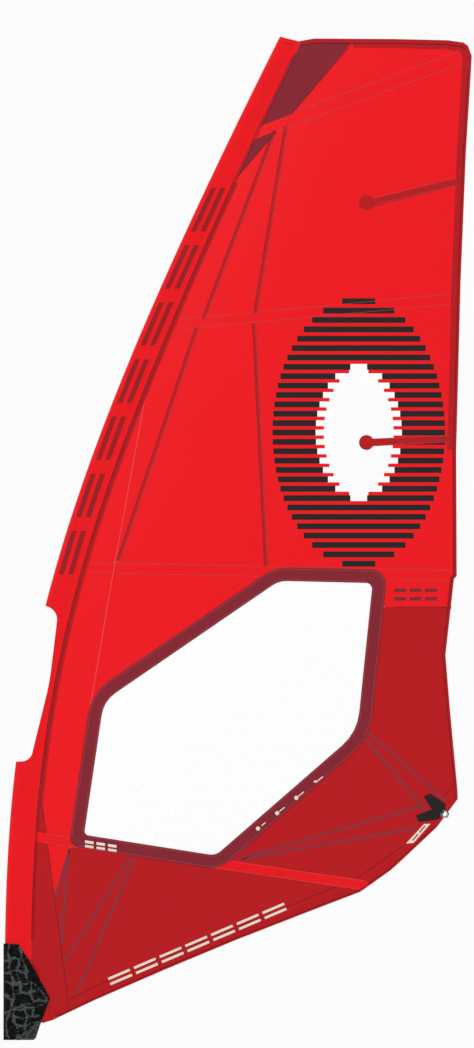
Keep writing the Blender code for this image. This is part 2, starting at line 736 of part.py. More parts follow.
def make_clew():
    """Webbing on both sides, each with a keeper that holds a ring against it."""
    ring_lift = FILM / 2 + GAP + WEBBING + RING_CLEAR
    near = CLEW_OUT * RING_RADIUS
    for side, sign in (("port", -1), ("starboard", 1)):
        x, z = RING_CENTRES[side]
        hinge = marker(f"clew_hinge_{side}", surface_frame(x - near.x, z - near.y, sign * ring_lift))
        outline = [(1.654, 0.975), (1.680, 0.986), (1.688, 0.982), (1.742, 0.944),
                   *arc((x, z), CLEW_NOTCH, 75, 205, 6), (1.719, 0.888), (1.711, 0.882),
                   (1.635, 0.872), (1.624, 0.898), (1.688, 0.922)]  # fmt: skip
        bm = flat(outline)
        low = -layer(1) - WEBBING if sign < 0 else layer(1)
        drape(bm, lambda x, z: low, WEBBING)
        webbing = place(f"clew_webbing_{side}", mesh_of(bm), "black_webbing")
        boolean(webbing, as_cutter(keeper(f"clew_keeper_{side}", hinge, sign)), "UNION")
        bpy.ops.mesh.primitive_torus_add(
            major_radius=RING_RADIUS, minor_radius=RING_WIRE, major_segments=40,
            minor_segments=12, rotation=(math.pi / 2, 0, 0),
        )  # fmt: skip
        ring = bpy.context.object
        mesh = ring.data
        mesh.transform(Matrix.Translation((RING_RADIUS, 0, 0)) @ ring.matrix_world)
        bpy.data.objects.remove(ring)
        place(f"clew_ring_{side}", mesh, "steel", hinge)


def keeper(name, hinge, sign):
    """An arch of webbing over the ring, with both feet sunk in the webbing under it."""
    inner, outer, foot = KEEPER
    arch = arc((0, 0), outer, 180, 0, 8)
    under = arc((0, 0), inner, 0, 180, 8)
    outline = [(-outer, -foot), *arch, (outer, -foot), (inner, -foot), *under, (-inner, -foot)]
    bm = flat([(x, sign * y) for x, y in outline])
    bmesh.ops.rotate(bm, verts=bm.verts, matrix=Matrix.Rotation(-math.pi / 2, 3, "X"))
    bmesh.ops.translate(bm, verts=bm.verts, vec=(0, 0, -KEEPER_WIDTH / 2))
    made = bmesh.ops.extrude_face_region(bm, geom=bm.faces[:])["geom"]
    verts = [item for item in made if isinstance(item, bmesh.types.BMVert)]
    bmesh.ops.translate(bm, verts=verts, vec=(0, 0, KEEPER_WIDTH))
    bmesh.ops.recalc_face_normals(bm, faces=bm.faces)
    return place(name, mesh_of(bm), "black_webbing", hinge)


# --- tack ---


def make_tack():
    """A webbing loop on the tack, and the block that swings on it with three sheaves."""
    slope = sail_y(TACK_X + 0.01, PIVOT_Z) - sail_y(TACK_X, PIVOT_Z)
    turn = Matrix.Rotation(math.atan2(slope, 0.01), 4, "Z")
    pivot = marker("tack_pivot", Matrix.Translation(on_sail(TACK_X, PIVOT_Z)) @ turn)
    leg = FILM / 2 + GAP + STRAP / 2
    down = [(leg, STRAP_TOP), (leg, STRAP_BOTTOM)]
    loop = arc((0, 0), LOOP_RADIUS, 25, -205, 12)
    path = down + loop + [(-y, z) for y, z in down[::-1]]
    bm = bmesh.new()
    verts = [bm.verts.new((-STRAP_WIDTH / 2, y, z)) for y, z in path]
    edges = [bm.edges.new(pair) for pair in zip(verts, verts[1:])]
    made = bmesh.ops.extrude_edge_only(bm, edges=edges)["geom"]
    moved = [item for item in made if isinstance(item, bmesh.types.BMVert)]
    bmesh.ops.translate(bm, verts=moved, vec=(STRAP_WIDTH, 0, 0))
    bmesh.ops.recalc_face_normals(bm, faces=bm.faces)
    strap = place("tack_webbing", mesh_of(bm), "black_webbing", pivot)
    wall = strap.modifiers.new("wall", "SOLIDIFY")
    wall.thickness = STRAP
    wall.offset = 0
    inner = BLOCK_HALF - CHEEK
    top, bar, bottom = BLOCK_LEVELS
    outline = [(-BLOCK_HALF, top), (BLOCK_HALF, top), (BLOCK_HALF, bottom), (inner, bottom),
               (inner, bar), (-inner, bar), (-inner, bottom), (-BLOCK_HALF, bottom)]  # fmt: skip
    slot = [(-inner, -top), (inner, -top), (inner, bar + top), (-inner, bar + top)]
    bm = flat(outline, slot)
    bmesh.ops.translate(bm, verts=bm.verts, vec=(0, -BLOCK_DEPTH / 2, 0))
    thicken(bm, BLOCK_DEPTH)
    frame = place("tack_block_frame", mesh_of(bm), "steel", pivot)
    axis = marker("tack_axis", Matrix.Translation((0, 0, -SHEAVE_DROP)))
    axis.parent = pivot
    radius, reach = AXLE_RADIUS + GAP, BLOCK_HALF + 0.01
    hole = ((-reach, 0), (-reach, radius), (reach, radius), (reach, 0))
    boolean(frame, as_cutter(turned("tack_axle_hole", hole, "steel", axis)))
    reach = BLOCK_HALF + AXLE_PROUD
    axle = ((-reach, 0), (-reach, AXLE_RADIUS), (reach, AXLE_RADIUS), (reach, 0))
    turned("tack_axle", axle, "steel", axis)
    half, (depth, floor, lip) = SHEAVE_WIDTH / 2, GROOVE
    bore = AXLE_RADIUS + SHEAVE_PLAY
    sheave = ((-half, bore), (-half, SHEAVE_RADIUS), (-lip, SHEAVE_RADIUS), (-floor, depth),
              (floor, depth), (lip, SHEAVE_RADIUS), (half, SHEAVE_RADIUS), (half, bore))  # fmt: skip
    for number in (1, 2, 3):
        piece = turned(f"tack_sheave_{number}", sheave, "black_plastic", axis, closed=True)
        piece.location.x = (number - 2) * (SHEAVE_WIDTH + SHEAVE_GAP)


def fairing_half(x, z):
    """Half of the fairing's thickness: full over the block, close to the sleeve above it."""
    if x < 0:
        return math.sqrt(max(FAIRING_NOSE**2 - x**2, FAIRING_EDGE**2))
    full = FAIRING_NOSE * math.sqrt(max(1 - (x / FAIRING_TAIL) ** 3, 0))
    close = float(np.interp(x, (0, SLEEVE_WIDTH - NOSE - SLEEVE_LAP), (NOSE, FAIRING_LAP)))
    low, high = FAIRING_CHANGE
    share = min(max((z - low) / (high - low), 0), 1)
    share = share * share * (3 - 2 * share)
    full, close = max(full, FAIRING_STEP), close + FAIRING_STEP
    return full + (close - full) * share


def make_fairing():
    """Two padded covers that meet in front of the mast. The port one opens about that edge."""
    hinge = marker("fairing_hinge", Matrix.Translation((-FAIRING_NOSE, 0, 0)))
    for side, sign in (("port", -1), ("starboard", 1)):
        bm = flat(FAIRING)
        for x in FAIRING_COLUMNS:
            cut(bm, (x, 0, 0), (1, 0, 0))
        for z in FAIRING_ROWS:
            cut(bm, (0, 0, z), (0, 0, 1))
        for vert in bm.verts:
            x, _, z = vert.co
            middle = sail_y(x, z) if x > 0 else 0
            vert.co.y = middle + sign * fairing_half(x, z)
        bmesh.ops.triangulate(bm, faces=bm.faces)
        bmesh.ops.recalc_face_normals(bm, faces=bm.faces)
        bm.normal_update()
        outward = sum(face.normal.y * face.calc_area() for face in bm.faces)
        if outward * sign < 0:
            bmesh.ops.reverse_faces(bm, faces=bm.faces)
        piece = place(f"fairing_{side}", mesh_of(bm), "padding")
        wall = piece.modifiers.new("wall", "SOLIDIFY")
        wall.thickness = FAIRING_WALL
        wall.offset = -1
        if side == "port":
            piece.parent = hinge
            piece.location.x = FAIRING_NOSE


def shade():
    for obj in COLLECTIONS["windsurf_sail"].objects:
        if obj.type == "MESH":
            obj.data.shade_smooth()
            obj.data.set_sharp_from_angle(angle=math.radians(30))


make_panels()
make_window()
make_tapes()
make_sleeve()
make_battens()
make_head_cap()
make_clew()
make_tack()
make_fairing()
shade()
bpy.context.view_layer.update()
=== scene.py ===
"""The looks of a wave sail: panels of film, cloth, webbing, stitching and fittings.

Every cloth piece lies on one cambered surface. The frame's own sheets are copied, cut finer
and settled onto that surface, and what is sewn or printed on them is laid on it in layers.
"""

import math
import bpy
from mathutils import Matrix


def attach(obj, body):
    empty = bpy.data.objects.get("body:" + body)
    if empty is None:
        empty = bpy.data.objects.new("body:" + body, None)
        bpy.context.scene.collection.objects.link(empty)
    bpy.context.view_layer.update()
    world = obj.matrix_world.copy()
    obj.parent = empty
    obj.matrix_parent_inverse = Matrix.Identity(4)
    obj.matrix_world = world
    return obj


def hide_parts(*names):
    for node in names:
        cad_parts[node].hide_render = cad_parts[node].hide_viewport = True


bl_info = {
    "name": "Wave sail",
    "version": (1, 0, 0),
    "blender": (4, 5, 0),
    "location": "3D View > Sidebar > Sail",
    "description": "Builds the panels, trims, stitching and fittings of a windsurfing sail",
    "category": "Object",
}

import bmesh
import bpy
import numpy as np
from mathutils import Matrix, Vector

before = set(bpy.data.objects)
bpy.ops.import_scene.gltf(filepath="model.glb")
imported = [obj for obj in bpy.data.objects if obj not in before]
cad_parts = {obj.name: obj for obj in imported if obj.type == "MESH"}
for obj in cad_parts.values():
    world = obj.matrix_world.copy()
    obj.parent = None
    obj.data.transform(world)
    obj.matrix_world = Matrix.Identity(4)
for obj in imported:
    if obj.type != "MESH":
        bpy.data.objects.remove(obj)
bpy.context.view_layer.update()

# The mast curve, the camber and the folds of the frame's sheets.
LUFF_START, BEND_HEIGHT, BEND_SIZE, BEND_SLOPE, BEND_SHARPNESS = -0.022, 0.035, 1.236, 0.557, 3
CAMBER_DEPTH, CAMBER_AT, CAMBER_TAIL = 0.085, 0.70, 1.274
FOLD_WIDTHS = (0, 0.14, 0.32, 0.50, 0.68, 0.88, 1.06, 1.28, 1.62, 1.92)
FOLD_HEIGHTS = (0, 0.5, 0.8, 1.11, 1.45, 1.74, 2.05, 2.4, 2.8, 3.2, 3.6, 4.05)
NOSE = 0.022
SLEEVE_WIDTH, SLEEVE_WIDTH_HEAD, SLEEVE_LAP, SLEEVE_FOOT = 0.108, 0.090, 0.014, 0.24
SLEEVE_WALL, WALL_FULLNESS = 0.0008, 0.0015
CLEW = (1.741, 0.904)
FLOOR = -0.036

# How far each kind of layer stands off the middle of the film.
FILM_FACE = 0.00025
SEAM_LIFT, LOAD_LIFT, PRINT_LIFT, THREAD_LIFT = 0.00030, 0.00050, 0.00048, 0.00055
TAPE_FACE, FRAME_FACE, HEM_FACE = 0.00105, 0.00185, 0.0016
BACK_LIFT = FILM_FACE + 0.00005
PATCH_LIFT, LUFF_TAPE_LIFT, MARK_LIFT = 0.0009, 0.0010, 0.0011
THIN, HEAVY, INK = 0.00012, 0.0003, 0.00005  # thicknesses of a tape, a folded tape and a print
CREST = 0.0015  # what stands further than this off the film belongs to a pocket's crest
STITCH_HEIGHT = 0.0002
MERGE = 1e-6

# Edges of the sail, as (x, z).
HEAD = ((1.160, 3.996), (1.217, 4.006), (1.540, 4.004), (1.752, 3.999), (1.814, 3.990),
        (1.832, 3.977), (1.847, 3.937))
LEECH = ((1.847, 3.937), (1.844, 3.88), (1.824, 3.56), (1.802, 3.02), (1.785, 2.36), (1.787, 1.856),
         (1.776, 1.844), (1.742, 1.540), (1.760, 1.320), (1.790, 1.000), (1.791, 0.964))
FOOT = ((1.708, 0.852), (1.568, 0.720), (1.524, 0.680), (1.412, 0.600), (1.400, 0.592),
        (1.212, 0.520), (0.904, 0.400), (0.616, 0.280), (0.340, 0.160), (0.190, 0.089))
BATTENS = (((0.988, 3.632), (1.816, 3.936), 0.050), ((0.634, 2.859), (1.768, 2.964), 0.040),
           ((0.288, 1.890), (1.775, 1.858), 0.040), ((0.099, 0.814), (1.420, 0.618), 0.042))
MINI_BATTENS = (((1.425, 3.349), (1.794, 3.434), 0.028), ((1.424, 2.390), (1.762, 2.405), 0.026))
WINDOW = ((1.060, 1.891, 0.19, 0.10), (1.510, 1.880, 0.06, 0.024), (1.440, 1.204, 0.26, 0.20),
          (0.839, 0.681, 0.12, 0.055), (0.235, 0.776, 0.04, 0.018), (0.325, 1.387, 0.20, 0.13))
FRAME_BAND = 0.054
CUT_OUT = ((-0.3, 1.100, 0), (-0.3, 1.745, 0), (0.195, 1.735, 0.055), (0.158, 1.430, 0.8),
           (0.081, 1.116, 0.045))

# Seams under a dark tape, as lines of (x, z).
SEAM_TAPES = (
    ((1.104, 3.655), (0.980, 2.905)), ((0.976, 2.868), (1.024, 1.892)),
    ((1.058, 3.638), (0.774, 2.885)), ((0.748, 2.850), (0.432, 1.916)),
)
LUFF_SEAM = ((0.550, 2.620), (0.420, 1.912), (0.332, 1.400), (0.244, 0.832))
LOAD_TAPES = (
    ((1.425, 1.237), (1.744, 0.956)), ((1.409, 1.218), (1.664, 0.918)),
    ((0.926, 0.728), (1.664, 0.941)), ((0.926, 0.724), (1.624, 0.847)),
    ((0.240, 0.764), (0.180, 0.564)), ((0.236, 0.764), (0.205, 0.380)),
    ((0.480, 0.728), (0.218, 0.310)), ((0.498, 0.724), (0.263, 0.180)),
)

# Where two panels meet, with a tape behind the gap.
RED_SEAMS = (
    *((start, end) for start, end, _ in BATTENS[:3]),
    ((0.980, 2.908), (1.108, 3.648)), ((0.772, 2.892), (1.060, 3.632)),
    ((1.024, 1.892), (0.976, 2.864)), ((0.432, 1.916), (0.748, 2.844)),
    ((0.420, 1.912), (0.552, 2.632)), ((0.258, 0.816), (0.428, 1.912)),
)
DARK_SEAMS = (
    (BATTENS[3][0], BATTENS[3][1]), ((0.128, 0.936), (0.144, 0.832), (0.236, 0.125)),
    ((0.178, 0.564), (0.240, 0.768)), ((1.50, 1.732), (1.765, 1.732)),
)
# Fine dark rows of straight stitches.
FINE_SEAMS = (
    DARK_SEAMS[1], ((1.546, 1.732), (1.756, 1.732)),
    ((0.236, 0.160), (0.398, 0.242), (1.118, 0.536), (1.306, 0.614)),
    ((1.394, 0.650), (1.640, 0.825)), ((1.736, 0.978), (1.772, 1.015)),
)
PATCH_EDGES = (
    ((1.353, 3.968), (1.126, 3.704)), ((1.066, 3.634), (0.905, 3.448)),
)

# The fairing's raised ribs, as lines of (x, z).
RIBS = (
    ((0.036, 0.376), (0.048, 0.335), (0.066, 0.274), (0.069, 0.240), (0.111, 0.209),
     (0.149, 0.169)),
    ((0.151, 0.160), (0.097, 0.154), (0.034, 0.134), (0.011, 0.120), (-0.020, 0.112)),
    ((-0.006, 0.380), (-0.003, 0.297), (0.014, 0.223), (0.011, 0.154), (0.014, 0.097),
     (0.029, 0.040), (0.034, 0.002)),
    ((-0.024, 0.318), (0.010, 0.325), (0.050, 0.330)),
    ((-0.024, 0.268), (0.026, 0.278), (0.066, 0.268)),
    ((-0.022, 0.232), (0.014, 0.223), (0.069, 0.228)),
    ((0.012, 0.189), (0.060, 0.186), (0.118, 0.199)),
    ((0.014, 0.118), (0.070, 0.128), (0.128, 0.139)),
    ((0.014, 0.090), (0.066, 0.088), (0.116, 0.099)),
    ((0.022, 0.056), (0.066, 0.058), (0.110, 0.076)),
    ((0.040, 0.330), (0.026, 0.278), (0.040, 0.223), (0.044, 0.188)),
    ((0.084, 0.226), (0.082, 0.190), (0.094, 0.156)),
    ((-0.020, 0.180), (0.011, 0.154), (-0.018, 0.060), (-0.004, 0.004)),
    ((0.060, 0.130), (0.066, 0.088), (0.058, 0.030)), ((0.096, 0.134), (0.092, 0.096)),
)
RIB_WIDTH, RIB_HEIGHT = 0.0042, 0.0016
PLAIN_CORNER = ((0.045, 0.024), (0.117, 0.078))  # below this line the fairing is plain

RED_PANELS = (
    "head_panel", "upper_panel_front", "upper_panel_mid", "upper_panel_aft", "middle_panel_front",
    "middle_panel_mid", "middle_panel_aft", "luff_panel_upper", "luff_panel_lower", "window_gore",
    "leech_patch", "tack_gore",
)
DARK_PANELS = ("leech_panel", "foot_panel", "tack_panel")


class SailColours(bpy.types.PropertyGroup):
    """The colours of the cloth and the thread."""

    def shade(name, description, value):
        return bpy.props.FloatVectorProperty(
            name=name, description=description, default=value, subtype="COLOR", min=0, max=1
        )

    bright: shade("Bright red", "Main film and cloth", (0.80, 0.0060, 0.0105))
    dark: shade("Dark red", "Film of the lower panels", (0.455, 0.0065, 0.0100))
    maroon: shade("Maroon", "Window frame and head patches", (0.225, 0.0165, 0.0285))
    tape: shade("Tape red", "Tapes on the seams", (0.450, 0.0085, 0.0125))
    thread: shade("Thread", "Stitching", (0.42, 0.075, 0.085))
    dark_thread: shade("Dark thread", "Fine stitching", (0.10, 0.008, 0.012))
    load: shade("Load tape red", "Tapes that spread the load", (0.28, 0.026, 0.040))
    cream: shade("Cream", "Pale prints", (0.86, 0.72, 0.60))
    ink: shade("Ink", "Black prints", (0.016, 0.014, 0.015))


class SailSizes(bpy.types.PropertyGroup):
    """Sizes of the sewing and of the cloth's surface."""

    def length(name, description, value):
        return bpy.props.FloatProperty(
            name=name, description=description, default=value, min=0, subtype="DISTANCE",
            unit="LENGTH", precision=4,
        )

    grid: length("Cloth grid", "Spacing of the cuts across a sheet", 0.03)
    ripple: length("Ripple", "Height of the soft waves in the film", 0.0011)
    stitch: length("Stitch", "Length of one stitch along its seam", 0.0042)
    zigzag: length("Zigzag", "Width of a zigzag row", 0.0036)
    thread_width: length("Thread width", "Width of a thread", 0.0012)
    seam_tape: length("Seam tape", "Width of a seam tape", 0.017)
    load_tape: length("Load tape", "Width of a load tape", 0.0125)


# --- the surface of the sail ---


def luff_curve(z):
    bend = BEND_SLOPE * np.maximum(z - BEND_HEIGHT, 0) / BEND_SIZE
    return LUFF_START + BEND_SIZE * ((1 + bend**BEND_SHARPNESS) ** (1 / BEND_SHARPNESS) - 1)


def camber(u):
    span = np.where(np.asarray(u) < CAMBER_AT, CAMBER_AT, CAMBER_TAIL)
    return CAMBER_DEPTH * (1 - ((u - CAMBER_AT) / span) ** 2)


LUFF_FOLDS = luff_curve(np.array(FOLD_HEIGHTS))
CAMBER_FOLDS = camber(np.array(FOLD_WIDTHS))
AXIS_CAMBER = np.interp(NOSE, FOLD_WIDTHS, CAMBER_FOLDS)


def folded(x, z):
    """The frame's surface, folded along straight lines."""
    u = x - np.interp(z, FOLD_HEIGHTS, LUFF_FOLDS)
    return AXIS_CAMBER - np.interp(u, FOLD_WIDTHS, CAMBER_FOLDS)


def ease(t):
    t = np.clip(t, 0, 1)
    return t * t * (3 - 2 * t)


def settled(x, z):
    """The cloth's surface: a smooth camber with soft waves, calm near the fittings."""
    x, z = np.asarray(x, float), np.asarray(z, float)
    flat = folded(x, z)
    smooth = AXIS_CAMBER - camber(x - luff_curve(z))
    ripple = bpy.context.scene.sail_sizes.ripple
    fan = np.arctan2(z - CLEW[1], CLEW[0] + 0.1 - x)
    away = np.hypot(x - CLEW[0], z - CLEW[1])
    waves = np.sin(9.0 * fan + 1.1) * ease((1.6 - away) / 1.2)
    waves += 0.6 * np.sin(5.3 * x + 2.1 * z) * np.sin(3.1 * z + 0.4)
    waves += 0.4 * np.sin(13.0 * (x - luff_curve(z)) + 1.7 * z)
    calm = ease((away - 0.06) / 0.25) * ease((z - 0.30) / 0.5)
    calm = calm * ease((x - luff_curve(z) - 0.02) / 0.10)
    return flat + calm * (smooth - flat + ripple * waves)


def seam_x(z):
    """The aft edge of the mast sleeve."""
    bands = (0, FOLD_HEIGHTS[8], FOLD_HEIGHTS[-1])
    widths = (SLEEVE_WIDTH, SLEEVE_WIDTH, SLEEVE_WIDTH_HEAD)
    return float(luff_curve(z) + np.interp(z, bands, widths))


def sleeve_seam():
    """The row along the sleeve's aft edge, from the head down."""
    return [(seam_x(z) + 0.0005, z) for z in np.linspace(3.94, 0.40, 60)]


# --- outlines ---


def arc(centre, radius, first, last, steps):
    turns = [math.radians(first + (last - first) * i / steps) for i in range(steps + 1)]
    return [(centre[0] + radius * math.cos(t), centre[1] + radius * math.sin(t)) for t in turns]


def rounded(corners, step=6):
    """The outline through corners of (x, z, radius), each rounded by its arc."""
    points = []
    for i, (x, z, radius) in enumerate(corners):
        here = Vector((x, z))
        if not radius:
            points.append((x, z))
            continue
        before = (Vector(corners[i - 1][:2]) - here).normalized()
        after = (Vector(corners[(i + 1) % len(corners)][:2]) - here).normalized()
        half = before.angle(after) / 2
        centre = here + (before + after).normalized() * radius / math.sin(half)
        reach = radius / math.tan(half)
        first, last = here + before * reach - centre, here + after * reach - centre
        turn = first.angle_signed(last)
        steps = max(2, round(math.degrees(abs(turn)) / step))
        for k in range(steps + 1):
            spoke = first.copy()
            spoke.rotate(Matrix.Rotation(-turn * k / steps, 2))
            points.append(tuple(centre + spoke))
    return points


def shifted(points, distance, closed=False):
    """A line moved to its right by a distance, with mitred corners."""
    found = []
    last = len(points) - 1
    for i, point in enumerate(points):
        here = Vector(point[:2])
        ways = []
        if i or closed:
            ways.append((here - Vector(points[i - 1][:2])).normalized())
        if i < last or closed:
            ways.append((Vector(points[(i + 1) % len(points)][:2]) - here).normalized())
        rights = [Vector((way.y, -way.x)) for way in ways]
        side = sum(rights, Vector((0, 0))).normalized()
        found.append(tuple(here + side * distance / side.dot(rights[0])))
    return found


def strip(points, width):
    """A strip with the line along its middle."""
    return shifted(points, -width / 2) + shifted(points, width / 2)[::-1]


def window_line(inset, inner=False):
    corners = shifted(WINDOW, inset, closed=True)
    radii = [corner[3] if inner else max(corner[2] - inset, 0.01) for corner in WINDOW]
    return rounded([(x, z, radius) for (x, z), radius in zip(corners, radii)])


def between(start, end, share):
    return tuple(a + (b - a) * share for a, b in zip(start, end))


# --- materials ---


def new_group(name, inputs, outputs):
    """An empty shader node group with named sockets, and its two end nodes."""
    tree = bpy.data.node_groups.new(name, "ShaderNodeTree")
    for label, value in inputs:
        socket = tree.interface.new_socket(label, in_out="INPUT", socket_type="NodeSocketFloat")
        socket.default_value = value
    for label in outputs:
        tree.interface.new_socket(label, in_out="OUTPUT", socket_type="NodeSocketFloat")
    return tree, tree.nodes.new("NodeGroupInput"), tree.nodes.new("NodeGroupOutput")


def add(tree, kind, values=(), links=(), **settings):
    """A node with its settings, input values by name and links from other sockets."""
    made = tree.nodes.new(kind)
    for key, value in settings.items():
        setattr(made, key, value)
    for key, value in values:
        made.inputs[key].default_value = value
    for key, source in links:
        tree.links.new(source, made.inputs[key])
    return made


def maths(tree, operation, first, second=None):
    """The result of a Math node on sockets or numbers."""
    made = tree.nodes.new("ShaderNodeMath")
    made.operation = operation
    for socket, value in zip(made.inputs, (first, second)):
        if isinstance(value, bpy.types.NodeSocket):
            tree.links.new(value, socket)
        elif value is not None:
            socket.default_value = value
    return made.outputs[0]


def place_in(tree):
    return add(tree, "ShaderNodeTexCoord").outputs["Object"]


def axes_of(tree, turn):
    """The object's X and Z, turned about Y."""
    turned = add(tree, "ShaderNodeMapping", [("Rotation", (0, turn, 0))],
                 [("Vector", place_in(tree))])
    split = add(tree, "ShaderNodeSeparateXYZ", links=[("Vector", turned.outputs[0])])
    return split.outputs["X"], split.outputs["Z"]


def noise_of(tree, scale, detail, place=None, **values):
    """A noise's value at the object's place, or at another."""
    given = [("Scale", scale), ("Detail", detail), *values.items()]
    place = place_in(tree) if place is None else place
    made = add(tree, "ShaderNodeTexNoise", given, [("Vector", place)])
    return made.outputs["Fac"]


def stretched(tree, scale):
    """The object's place, scaled on each axis."""
    made = add(tree, "ShaderNodeMapping", [("Scale", scale)], [("Vector", place_in(tree))])
    return made.outputs[0]


def line_mask(tree, along, spacing, width):
    """1 on thin lines that repeat at a spacing, and 0 between them."""
    steps = maths(tree, "DIVIDE", along, spacing)
    off = maths(tree, "ABSOLUTE", maths(tree, "SUBTRACT", maths(tree, "FRACT", steps), 0.5))
    return maths(tree, "LESS_THAN", off, width)


def scrim_group():
    """Yarns laid crosswise inside a clear laminate, with a slow mottle."""
    tree, given, out = new_group(
        "scrim", [("Spacing", 0.012), ("Width", 0.04)], ["Yarns", "Mottle"]
    )
    masks = []
    for turn in (math.radians(32), math.radians(-32), math.radians(90)):
        across = axes_of(tree, turn)[0]
        masks.append(line_mask(tree, across, given.outputs["Spacing"], given.outputs["Width"]))
    yarns = maths(tree, "MAXIMUM", maths(tree, "MAXIMUM", masks[0], masks[1]), masks[2])
    tree.links.new(yarns, out.inputs["Yarns"])
    tree.links.new(noise_of(tree, 3.5, 3.0), out.inputs["Mottle"])
    return tree


def weave_group():
    """A plain weave: threads that go over and under each other."""
    tree, given, out = new_group("weave", [("Thread", 0.0016)], ["Height", "Mottle"])
    waves = []
    for axis in axes_of(tree, math.radians(12)):
        turns = maths(tree, "DIVIDE", axis, given.outputs["Thread"])
        waves.append(maths(tree, "SINE", maths(tree, "MULTIPLY", turns, 2 * math.pi)))
    height = maths(tree, "MULTIPLY", waves[0], waves[1])
    height = maths(tree, "MULTIPLY_ADD", height, 0.5)
    tree.links.new(height, out.inputs["Height"])
    tree.links.new(noise_of(tree, 9.0, 4.0), out.inputs["Mottle"])
    return tree


def grime_group():
    """Salt and handling marks: cloudy, with a fine speckle."""
    tree, given, out = new_group("grime", [("Scale", 2.0), ("Amount", 0.5)], ["Mask"])
    cloud = add(tree, "ShaderNodeTexNoise", [("Detail", 6.0), ("Roughness", 0.65)],
                [("Vector", place_in(tree)), ("Scale", given.outputs["Scale"])])
    both = maths(tree, "MULTIPLY", cloud.outputs["Fac"], noise_of(tree, 160.0, 2.0))
    tree.links.new(maths(tree, "MULTIPLY", both, given.outputs["Amount"]), out.inputs["Mask"])
    return tree


def group_node(tree, name, maker, values=()):
    made = tree.nodes.new("ShaderNodeGroup")
    made.node_tree = bpy.data.node_groups.get(name) or maker()
    for key, value in values:
        made.inputs[key].default_value = value
    return made.outputs


def tinted(tree, colour, share, mask, strength):
    """The colour, moved toward a share of itself where the mask is high."""
    mix = add(tree, "ShaderNodeMix", data_type="RGBA")
    mix.inputs["A"].default_value = (*colour, 1)
    mix.inputs["B"].default_value = (*[min(c * share, 1) for c in colour], 1)
    tree.links.new(maths(tree, "MULTIPLY", mask, strength), mix.inputs["Factor"])
    return mix.outputs["Result"]


def blank(name, colour, roughness, metallic=0.0, specular=0.2):
    """A new material with a Principled shader set to even values."""
    made = bpy.data.materials.new(f"sail_{name}")
    made.use_nodes = True
    shader = made.node_tree.nodes["Principled BSDF"]
    shader.inputs["Base Color"].default_value = (*colour, 1)
    shader.inputs["Roughness"].default_value = roughness
    shader.inputs["Metallic"].default_value = metallic
    shader.inputs["Specular IOR Level"].default_value = specular
    return made, made.node_tree, shader


def bump(tree, shader, height, distance, strength=0.5):
    made = add(tree, "ShaderNodeBump", [("Strength", strength), ("Distance", distance)],
               [("Height", height)])
    tree.links.new(made.outputs["Normal"], shader.inputs["Normal"])


def rough_with(tree, shader, base, span, mask):
    tree.links.new(maths(tree, "ADD", maths(tree, "MULTIPLY", mask, span), base),
                   shader.inputs["Roughness"])


def film(name, colour):
    """Laminated film: glossy, with yarns inside and a faint mottle."""
    made, tree, shader = blank(name, colour, 0.34, specular=0.11)
    scrim = group_node(tree, "scrim", scrim_group, [("Spacing", 0.014), ("Width", 0.035)])
    grime = group_node(tree, "grime", grime_group, [("Scale", 1.4), ("Amount", 1.0)])
    lines = maths(tree, "MULTIPLY", scrim["Yarns"], 0.16)
    spread = maths(tree, "ADD", lines, maths(tree, "MULTIPLY", scrim["Mottle"], 0.10))
    tree.links.new(tinted(tree, colour, 0.62, spread, 1.0), shader.inputs["Base Color"])
    rough_with(tree, shader, 0.27, 0.35, grime["Mask"])
    bump(tree, shader, scrim["Yarns"], 0.0002, 0.25)
    return made


def cloth(name, colour, thread=0.0016, roughness=0.62, depth=0.0003):
    """Woven polyester: matt, with its weave and a little fading."""
    made, tree, shader = blank(name, colour, roughness, specular=0.10)
    weave = group_node(tree, "weave", weave_group, [("Thread", thread)])
    spread = maths(tree, "ADD", maths(tree, "MULTIPLY", weave["Mottle"], 0.35),
                   maths(tree, "MULTIPLY", weave["Height"], 0.12))
    tree.links.new(tinted(tree, colour, 0.72, spread, 0.8), shader.inputs["Base Color"])
    rough_with(tree, shader, roughness - 0.08, 0.2, weave["Mottle"])
    bump(tree, shader, weave["Height"], depth, 0.5)
    shader.inputs["Sheen Weight"].default_value = 0.06
    return made


def clear_film(name, colour):
    """The window: a clear laminate whose yarns catch the light."""
    made, tree, shader = blank(name, colour, 0.06, specular=0.5)
    scrim = group_node(tree, "scrim", scrim_group, [("Spacing", 0.022), ("Width", 0.022)])
    grime = group_node(tree, "grime", grime_group, [("Scale", 3.0), ("Amount", 0.8)])
    alpha = maths(tree, "ADD", maths(tree, "MULTIPLY", scrim["Yarns"], 0.30), 0.10)
    tree.links.new(alpha, shader.inputs["Alpha"])
    rough_with(tree, shader, 0.05, 0.25, grime["Mask"])
    return made


def moulded(name, colour, roughness=0.45):
    """Moulded nylon with a fine spark texture."""
    made, tree, shader = blank(name, colour, roughness, specular=0.4)
    grime = group_node(tree, "grime", grime_group, [("Scale", 60.0), ("Amount", 1.0)])
    tree.links.new(tinted(tree, colour, 1.9, grime["Mask"], 1.2), shader.inputs["Base Color"])
    rough_with(tree, shader, roughness - 0.06, 0.3, grime["Mask"])
    bump(tree, shader, grime["Mask"], 0.0002, 0.4)
    return made


def steel(name, colour, roughness):
    """Stainless steel with hairline polish marks and dull patches."""
    made, tree, shader = blank(name, colour, roughness, metallic=1.0, specular=0.5)
    hair = noise_of(tree, 900.0, 2.0)
    grime = group_node(tree, "grime", grime_group, [("Scale", 40.0), ("Amount", 1.0)])
    tree.links.new(tinted(tree, colour, 0.6, grime["Mask"], 0.9), shader.inputs["Base Color"])
    rough_with(tree, shader, roughness - 0.05, 0.16, hair)
    bump(tree, shader, hair, 0.00005, 0.2)
    return made


